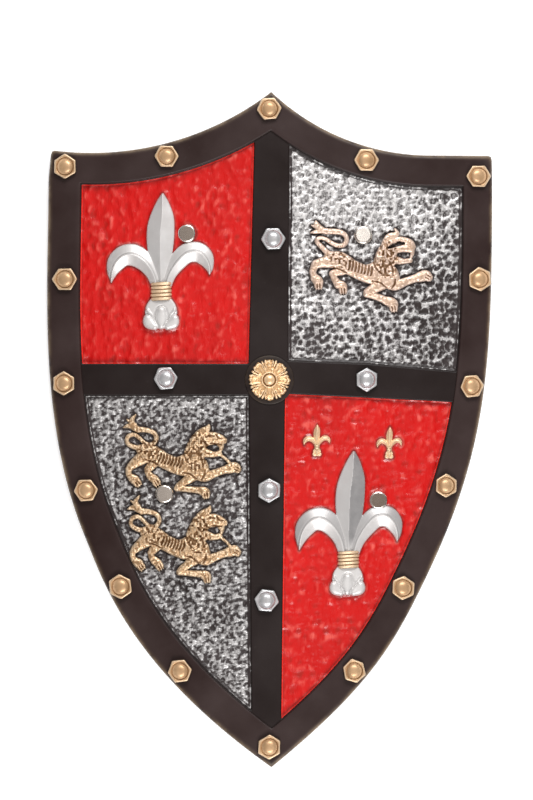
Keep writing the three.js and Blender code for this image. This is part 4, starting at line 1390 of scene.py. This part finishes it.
# %% Places and section of the bolts
BORDER_BOLTS = [
    (-143.2, 184, 30), (-72, 190.8, 0), (-0.4, 223.9, 5), (67.6, 188.2, 0), (146.2, 177.1, 0),
    (-143.4, 105.1, 0), (147, 105.1, 35), (-144, 32.2, 30), (141.5, 30.2, 5),
    (-128.5, -42.6, 5), (123.4, -39.3, 28), (-104.4, -109.8, 35), (93.3, -110.7, 25),
    (-62.8, -168.7, 8), (59, -168.6, 42), (-0.3, -221.7, 29),
]
BAND_BOLTS = [
    (2.4, 133.1, 3), (-72.7, 35.7, 5), (67.8, 34.7, 30), (-0.4, -42.6, 30), (-2.2, -119.4, 52),
]
NUT = [
    (1.02, 0, -0.6, 0.0), (1.0, 0, 0.3, 0.0), (0.985, 0, 1.6, 0.0), (0.965, 0, 2.6, 0.25),
    (0.94, 0, 3.1, 0.8), (0.90, 0, 3.35, 1.0), (0.86, 0, 3.4, 1.0), (0.80, 0.35, 3.4, 1.0),
    (0.755, 0.8, 3.3, 1.0), (0.725, 1, 2.9, 1.0), (0.70, 1, 2.75, 1.0), (0.675, 1, 2.95, 1.0),
    (0.65, 1, 3.5, 1.0), (0.60, 1, 4.15, 1.0), (0.52, 1, 4.85, 1.0), (0.42, 1, 5.4, 1.0),
    (0.30, 1, 5.78, 1.0), (0.16, 1, 5.97, 1.0), (0.02, 1, 6.0, 1.0),
]
NUT_CORNER = 8.9
NUT_RIM = (0.94, 0.90, 0.86)
NUT_GROOVE = 0.695
AROUND_NUT = 48
BOLT_SEAT = 0.06

# %% [markdown]
# Every bolt is the same nut with small seeded faults: its size, its roundness and the way its
# cap leans. A brown stain gathers on one side of the ring-shaped groove.

# %% Bolts


def bolt_points(x, y, degrees, base, rng):
    """Rings of one bolt head, from a six-sided foot to a round cap."""
    angles = np.linspace(0, 2 * math.pi, AROUND_NUT, endpoint=False)
    local = (angles - math.radians(degrees)) % (math.pi / 3) - math.pi / 6
    flat = math.cos(math.pi / 6) / np.cos(local)
    corner = NUT_CORNER * rng.uniform(0.97, 1.03)
    wobble = 0.018 * np.sin(angles * 2 + rng.uniform(0, 6))
    wobble += 0.012 * np.sin(angles * 3 + rng.uniform(0, 6))
    lean = rng.uniform(-0.22, 0.22, 2)
    rows = []
    for share, round_share, height, _ in NUT:
        shape = np.minimum(flat, 0.985) * (1 - round_share) + 0.93 * round_share
        radius = corner * share * shape * (1 + wobble * (1 - 0.6 * round_share))
        px, py = radius * np.cos(angles), radius * np.sin(angles)
        shift = lean * max(height - 2.5, 0) / 3.5
        rows.append(np.column_stack([
            x + px + shift[0], y + py + shift[1], np.full(AROUND_NUT, base + height),
        ]))
    return np.vstack(rows)


def bolts(name, places, base, finish, seed):
    """A row of bolt heads as one piece, standing at one height."""
    shares = np.repeat([ring[0] for ring in NUT], AROUND_NUT)
    painted = np.repeat([ring[3] for ring in NUT], AROUND_NUT)
    groove = np.exp(-((shares - NUT_GROOVE) / 0.035) ** 2)
    points, faces, pit = [], [], []
    rng = np.random.default_rng(seed)
    for number, (x, y, degrees) in enumerate(places):
        bolt = bolt_points(x, y, degrees, base, rng)
        start, end = number * len(bolt), (number + 1) * len(bolt)
        faces += strip_faces(len(NUT), AROUND_NUT, True, start)
        faces.append(tuple(range(end - AROUND_NUT, end)))
        points.append(bolt)
        stain = 0.55 + 0.45 * np.cos(np.arctan2(bolt[:, 1] - y, bolt[:, 0] - x) + 0.3)
        pit.append(groove * stain)
    numbers = {
        "side": np.tile(1 - painted, len(places)) * 0.62,
        "pit": np.concatenate(pit),
        "high": np.tile(np.isin(shares, NUT_RIM), len(places)) * 0.6,
    }
    return make_piece(name, to_metres(np.vstack(points)), faces, finish, numbers)


def dabbed_silver(name):
    r = Recipe(name)
    cloud = r.noise(240, 4, 0.6)
    fine = r.noise(1300, 3, 0.6)
    colour = r.patchy(cloud, (0.50, 0.50, 0.51, 1), (0.64, 0.64, 0.65, 1))
    stain = r.maths("MULTIPLY", r.number("pit"), 0.8)
    colour = r.mix(stain, colour, (0.42, 0.13, 0.12, 1))
    colour = r.bare_sides(colour, (0.03, 0.026, 0.025, 1))
    rough = r.spread(fine, 0.3, 0.7, 0.28, 0.4)
    return r.finish(colour, rough, r.bump(fine, 0.12, 0.1), 0.6)


bolts("bolts_gold", BORDER_BOLTS, BORDER_HEIGHT - BOLT_SEAT, bolt_gold, 5)
bolts("bolts_silver", BAND_BOLTS, BAND_HEIGHT - BOLT_SEAT, dabbed_silver("silver_on_bolts"),
      6)

# %% [markdown]
# A rosette covers the crossing. It has eight broad petals with notched tips, narrow leaves that
# peep out between them, and a button in a ring. It sits on a thin round plate of black foam.
# Its height is written as waves round the middle, each of which acts between two radii.

# %% Rosette
ROSETTE_CENTRE = (-0.2, 34.6)
PETALS = 8
BUTTON_RADIUS = 3.9
PLATE = [
    (17.2, -0.5, 0), (17.15, 0.4, 0), (16.9, 0.85, 0.25), (16.5, 1.0, 0.1), (12.0, 1.0, 0),
    (6, 1.0, 0), (0.05, 1.0, 0),
]


def rosette():
    cx, cy = ROSETTE_CENTRE
    cell = 0.26
    across = np.arange(-16.4, 16.4, cell)
    x, y = np.meshgrid(across, across)
    distance = np.hypot(x, y)
    angle = np.arctan2(y, x)
    tilt = 0.16 * (uneven(x + 90, y + 90, 7, 71) - 0.5)
    fold = np.cos(PETALS * (angle + tilt))
    lobes = np.abs(np.cos(1.5 * PETALS * (angle + tilt)))
    ragged = uneven(x + 90, y + 90, 1.9, 72) - 0.5
    petal_edge = 12.6 + 1.9 * step(-1.0, 0.1, fold) - 0.7 * (1 - lobes) + 1.1 * ragged
    leaf_edge = 14.2 + 0.9 * ragged
    between = step(-0.86, -0.93, fold)
    outline = petal_edge * (1 - between) + leaf_edge * between
    slit = np.exp(-((fold + 0.80) / 0.13) ** 2) * step(7.0, 9.5, distance)
    edge = distance - outline
    rim = np.exp(-((distance - outline + 1.3) / 0.8) ** 2)
    fan = 0.5 + 0.5 * np.cos(3 * PETALS * (angle + tilt) + 0.6)
    height = 1.3 + 0.75 * rim + 0.45 * fan * step(6.2, 9.5, distance) - 1.3 * slit
    height += 0.5 * step(-0.4, -0.85, fold) + 0.9 * ragged * step(6, 9, distance)
    ring = np.exp(-((distance - 5.2) / 0.6) ** 2)
    height = height * step(4.3, 5.6, distance) + 1.3 * step(5.6, 4.3, distance) + 1.0 * ring
    button = 1.5 + 2.8 * rounded(distance / BUTTON_RADIUS)
    height = laid_over(height, button, distance - BUTTON_RADIUS)
    moat = np.exp(-((distance - 4.2) / 0.32) ** 2)
    holes = step(0.75, 0.95, slit) * step(0.8, 0.5, np.abs(distance - 10.5) / 3)
    height -= 0.9 * holes
    height = np.maximum(height - 0.25 * moat, 0.3)
    dip = blurred(height, 3) - height
    numbers = {
        "pit": np.clip(0.6 * step(0.1, 0.7, dip) + 0.4 * moat + 1.2 * holes, 0, 1),
        "high": step(0.02, 0.35, -dip),
    }
    relief("rosette_flower", x + cx, y + cy, edge, height + 0.9, rose_gold,
           BAND_HEIGHT, numbers)
    around = 96
    plate = turned([ring[:2] for ring in PLATE], around) + np.array([cx, cy, BAND_HEIGHT])
    tan_edge = np.repeat([ring[2] for ring in PLATE], around)
    make_piece("rosette_plate", to_metres(plate), strip_faces(len(PLATE), around), foam_finish,
               {"tan_edge": tan_edge})


rosette()

# %% [markdown]
# Four pressed steel caps clamp the straps through the foam. They are nickel plated: bright, a
# little warm, with fine rubbing marks. The flat top mirrors whatever is straight above and the
# rounded rim mirrors the sides, so the rim looks like a light ring round a darker disc. Each
# was pressed a little askew, so every cap has its own lean, and on some the flat top is given a
# painted shade that darkens its reflection.

# %% Nickel rivets


def nickel(name):
    r = Recipe(name)
    fine = r.noise(800, 4, 0.6, (1, 6, 1), 0.5)
    cloud = r.noise(150, 3, 0.5)
    colour = r.patchy(cloud, (0.88, 0.82, 0.76, 1), (0.95, 0.90, 0.84, 1))
    # Painted shade: the reflection in the flat top is darkened on some caps.
    colour = r.mix(r.number("painted_shade"), colour, (0.30, 0.225, 0.175, 1))
    rough = r.spread(fine, 0.3, 0.7, 0.18, 0.30)
    return r.finish(colour, rough, r.bump(fine, 0.05, 0.1), 1.0)


nickel_finish = nickel("nickel_plate")
FRONT_CAP = [
    (3.0, 8.2), (6.2, 9.35), (6.36, 9.6), (6.4, 10.0), (6.34, 10.5), (6.12, 10.98),
    (5.8, 11.34), (5.4, 11.56), (5.05, 11.64), (4.6, 11.63), (3.4, 11.66), (1.7, 11.69),
    (0.02, 11.7),
]
BACK_CAP = [
    (2.2, -1.6), (6.0, -2.35), (6.0, -2.8), (5.85, -3.4), (5.4, -3.95), (4.7, -4.22),
    (4.0, -4.3), (2.0, -4.3), (0.02, -4.3),
]


def rivet_cap(name, profile, place, node, tilt, painted_shade=0.3):
    """A profile of radius and height turned round, leaned and seated on the bent foam."""
    around = 64
    points = turned(profile, around)
    middle = np.array([0, 0, profile[len(profile) // 2][1]])
    seat = Matrix.Rotation(math.asin(place[0] / BEND_RADIUS), 3, "Y")
    lean = Matrix.Rotation(math.radians(tilt[0]), 3, "X") @ \
        Matrix.Rotation(math.radians(tilt[1]), 3, "Y")
    points = (points - middle) @ np.array(lean).T + middle
    points = points @ np.array(seat).T
    points[:, :2] += np.array(place) - CENTRE
    points[:, 2] += float(lift(place[0])) - LOWEST
    faces = strip_faces(len(profile), around)
    if profile[-1][1] < 0:
        faces = [f[::-1] for f in faces]
    # Painted shade on the flat top, darkening its reflection.
    painted_dark_reflection = painted_shade * step(5.4, 4.9, np.repeat([r for r, z in profile], around))
    return make_piece(name, points / 1000, faces, nickel_finish,
                      {"painted_shade": painted_dark_reflection}, [node])


# Each cap's lean in degrees, and how much painted shade darkens the reflection on its flat top.
LEANS = {"upper_left": (1.0, -0.5, 0.45), "upper_right": (-5.5, 0.0, 0.0),
         "lower_left": (0.5, 1.0, 0.0), "lower_right": (1.0, -3.0, 0.75)}
for corner, place in CAPS.items():
    *tilt, painted_shade = LEANS[corner]
    rivet_cap("front_cap_" + corner, FRONT_CAP, place, "front_rivet_" + corner, tilt, painted_shade)
    rivet_cap("back_cap_" + corner, BACK_CAP, place, "back_rivet_" + corner, (0, 0))

# %% [markdown]
# The straps are flat elastic webbing, 25 mm wide. They lie along the back at both ends, under
# the rivets, and hang a little slack between them. Woven ribs run along the strap with fine
# cross threads; the two selvedges are slightly thicker, and the cut ends were sealed with heat.

# %% Webbing straps


def webbing(name):
    r = Recipe(name)
    ribs = r.number("rib")
    threads = r.noise(2600, 2, 0.5, (1.0, 0.25, 1.0))
    cloud = r.noise(60, 3, 0.5)
    colour = r.patchy(cloud, (0.010, 0.010, 0.011, 1), (0.022, 0.021, 0.022, 1))
    colour = r.mix(r.maths("MULTIPLY", ribs, 0.5), colour, (0.05, 0.049, 0.05, 1))
    normal = r.bump(threads, 0.5, 0.15)
    normal = r.bump(ribs, 0.6, 0.25, normal)
    return r.finish(colour, 0.85, normal, Sheen_Weight=0.35, Sheen_Roughness=0.5)


strap_finish = webbing("black_webbing_weave")
STRAP_WIDTH = 25.0
STRAP_THICK = 1.6
STRAP_GAP = 0.35
STRAP_SLACK = 10.0
STRAP_TAB = 13.0


def strap(name, left, right, node):
    """Flat webbing swept from one cut end to the other."""
    steps = 220
    start, end = left[0] - STRAP_TAB, right[0] + STRAP_TAB
    half = STRAP_WIDTH / 2
    spread = np.linspace(-1, 1, 27)
    upper = [(s, 0.0) for s in spread]
    lower = [(s, 1.0) for s in spread[::-1]]
    rows, ribs = [], []
    for k in range(steps + 1):
        x = start + (end - start) * k / steps
        free = (x - left[0] - 6) / (right[0] - left[0] - 12)
        free = min(max(free, 0.0), 1.0)
        slack = STRAP_SLACK * 0.5 * (1 - math.cos(2 * math.pi * free))
        y = left[1] + (right[1] - left[1]) * (x - left[0]) / (right[0] - left[0])
        top = -STRAP_GAP - slack
        row = []
        for s, under in upper + lower:
            edge_round = 0.35 * max(abs(s) - 0.9, 0) / 0.1
            wave = (1 + math.cos(s * math.pi * 12)) / 2
            down = edge_round + 0.08 * wave
            row.append((x, y + s * half, top - STRAP_THICK + down if under else top - down))
            ribs.append(wave * (0.6 + 0.4 * (k % 2)))
        rows.append(np.array(row))
    size = len(rows[0])
    faces = [f[::-1] for f in strip_faces(len(rows), size)]
    last = steps * size
    faces += [tuple(range(size)), tuple(range(last, last + size))[::-1]]
    return make_piece(name, to_metres(np.vstack(rows)), faces, strap_finish,
                      {"rib": np.array(ribs)}, [node])


strap("webbing_upper", CAPS["upper_left"], CAPS["upper_right"], "strap_upper")
strap("webbing_lower", CAPS["lower_left"], CAPS["lower_right"], "strap_lower")

# %% [markdown]
# The shield is shown lying on a plain white table under a pale sky of soft light. The table
# glows a little, so that it stays white where the shield keeps the sky's light off it.

# %% Table and sky


def table():
    half = 4.0
    mesh = bpy.data.meshes.new("table_top")
    corners = [(-half, -half, 0), (half, -half, 0), (half, half, 0), (-half, half, 0)]
    mesh.from_pydata(corners, [], [(0, 1, 2, 3)])
    r = Recipe("white_table")
    cloud = r.noise(3, 2, 0.5)
    tone = r.patchy(cloud, (0.86, 0.86, 0.86, 1), (0.90, 0.90, 0.90, 1))
    r.surface.inputs["Emission Color"].default_value = (1, 1, 1, 1)
    r.surface.inputs["Emission Strength"].default_value = 0.45
    mesh.materials.append(r.finish(tone, 0.9))
    top = bpy.data.objects.new("table_top", mesh)
    bpy.context.scene.collection.objects.link(top)


def sky():
    """Pale light that is a little darker straight above and dims towards both sides."""
    world = bpy.data.worlds.new("soft_sky")
    bpy.context.scene.world = world
    world.use_nodes = True
    tree = world.node_tree
    s = Sums(tree)
    coordinates = tree.nodes.new("ShaderNodeTexCoord")
    split = tree.nodes.new("ShaderNodeSeparateXYZ")
    tree.links.new(coordinates.outputs["Generated"], split.inputs[0])
    ramp = tree.nodes.new("ShaderNodeValToRGB")
    ramp.color_ramp.elements[0].position = 0.3
    ramp.color_ramp.elements[0].color = (0.86, 0.85, 0.86, 1)
    ramp.color_ramp.elements[1].position = 0.995
    ramp.color_ramp.elements[1].color = (0.64, 0.57, 0.52, 1)
    tree.links.new(split.outputs["Z"], ramp.inputs["Fac"])
    sideways = s.maths("ABSOLUTE", split.outputs["X"], 0.0)
    strength = s.maths("MULTIPLY", s.spread(sideways, 0.12, 0.8, 1.0, 0.18), 0.66)
    background = tree.nodes["Background"]
    s.feed(background.inputs["Color"], ramp.outputs["Color"])
    s.feed(background.inputs["Strength"], strength)


table()
sky()

# %% [markdown]
# Two large soft lamps, one beyond the top and one beyond the tip, give each bolt its pair of
# highlights. A small third one high above adds the glint on the flat caps that lean its way.

# %% Lamps


def soft_lamp(name, place, size, power):
    """A lamp as a bright rectangle that faces the middle of the shield."""
    light = bpy.data.lights.new(name, "AREA")
    light.shape = "RECTANGLE"
    light.size, light.size_y = size
    light.energy = power
    lamp = bpy.data.objects.new(name, light)
    bpy.context.scene.collection.objects.link(lamp)
    lamp.location = place
    aim = Vector((0, 0, 0)) - Vector(place)
    lamp.rotation_euler = aim.to_track_quat("-Z", "Y").to_euler()


soft_lamp("lamp_top", (0.25, 1.5, 1.35), (1.3, 0.7), 40)
soft_lamp("lamp_tip", (0.25, -1.5, 1.35), (1.3, 0.7), 34)
soft_lamp("lamp_above", (0.6, 0.66, 2.6), (0.42, 0.42), 0.85)

# %% [markdown]
# The camera looks straight down with a long lens from eight metres, far enough that the raised
# parts hide almost nothing behind them and stay where a flat drawing would put them.

# %% Camera
LENS_HEIGHT = 8.0
FACE_HEIGHT = 0.012
VIEW_HEIGHT = 0.560
SENSOR_HEIGHT = 36.0
camera_data = bpy.data.cameras.new("camera")
camera_data.sensor_fit = "VERTICAL"
camera_data.sensor_height = SENSOR_HEIGHT
camera_data.lens = SENSOR_HEIGHT * (LENS_HEIGHT - FACE_HEIGHT) / VIEW_HEIGHT
camera = bpy.data.objects.new("camera", camera_data)
bpy.context.scene.collection.objects.link(camera)
camera.location = (-0.0022, 0.02065, LENS_HEIGHT)
camera.rotation_euler = (0, 0, 0)
bpy.context.scene.camera = camera
bpy.context.scene.view_settings.view_transform = "Standard"
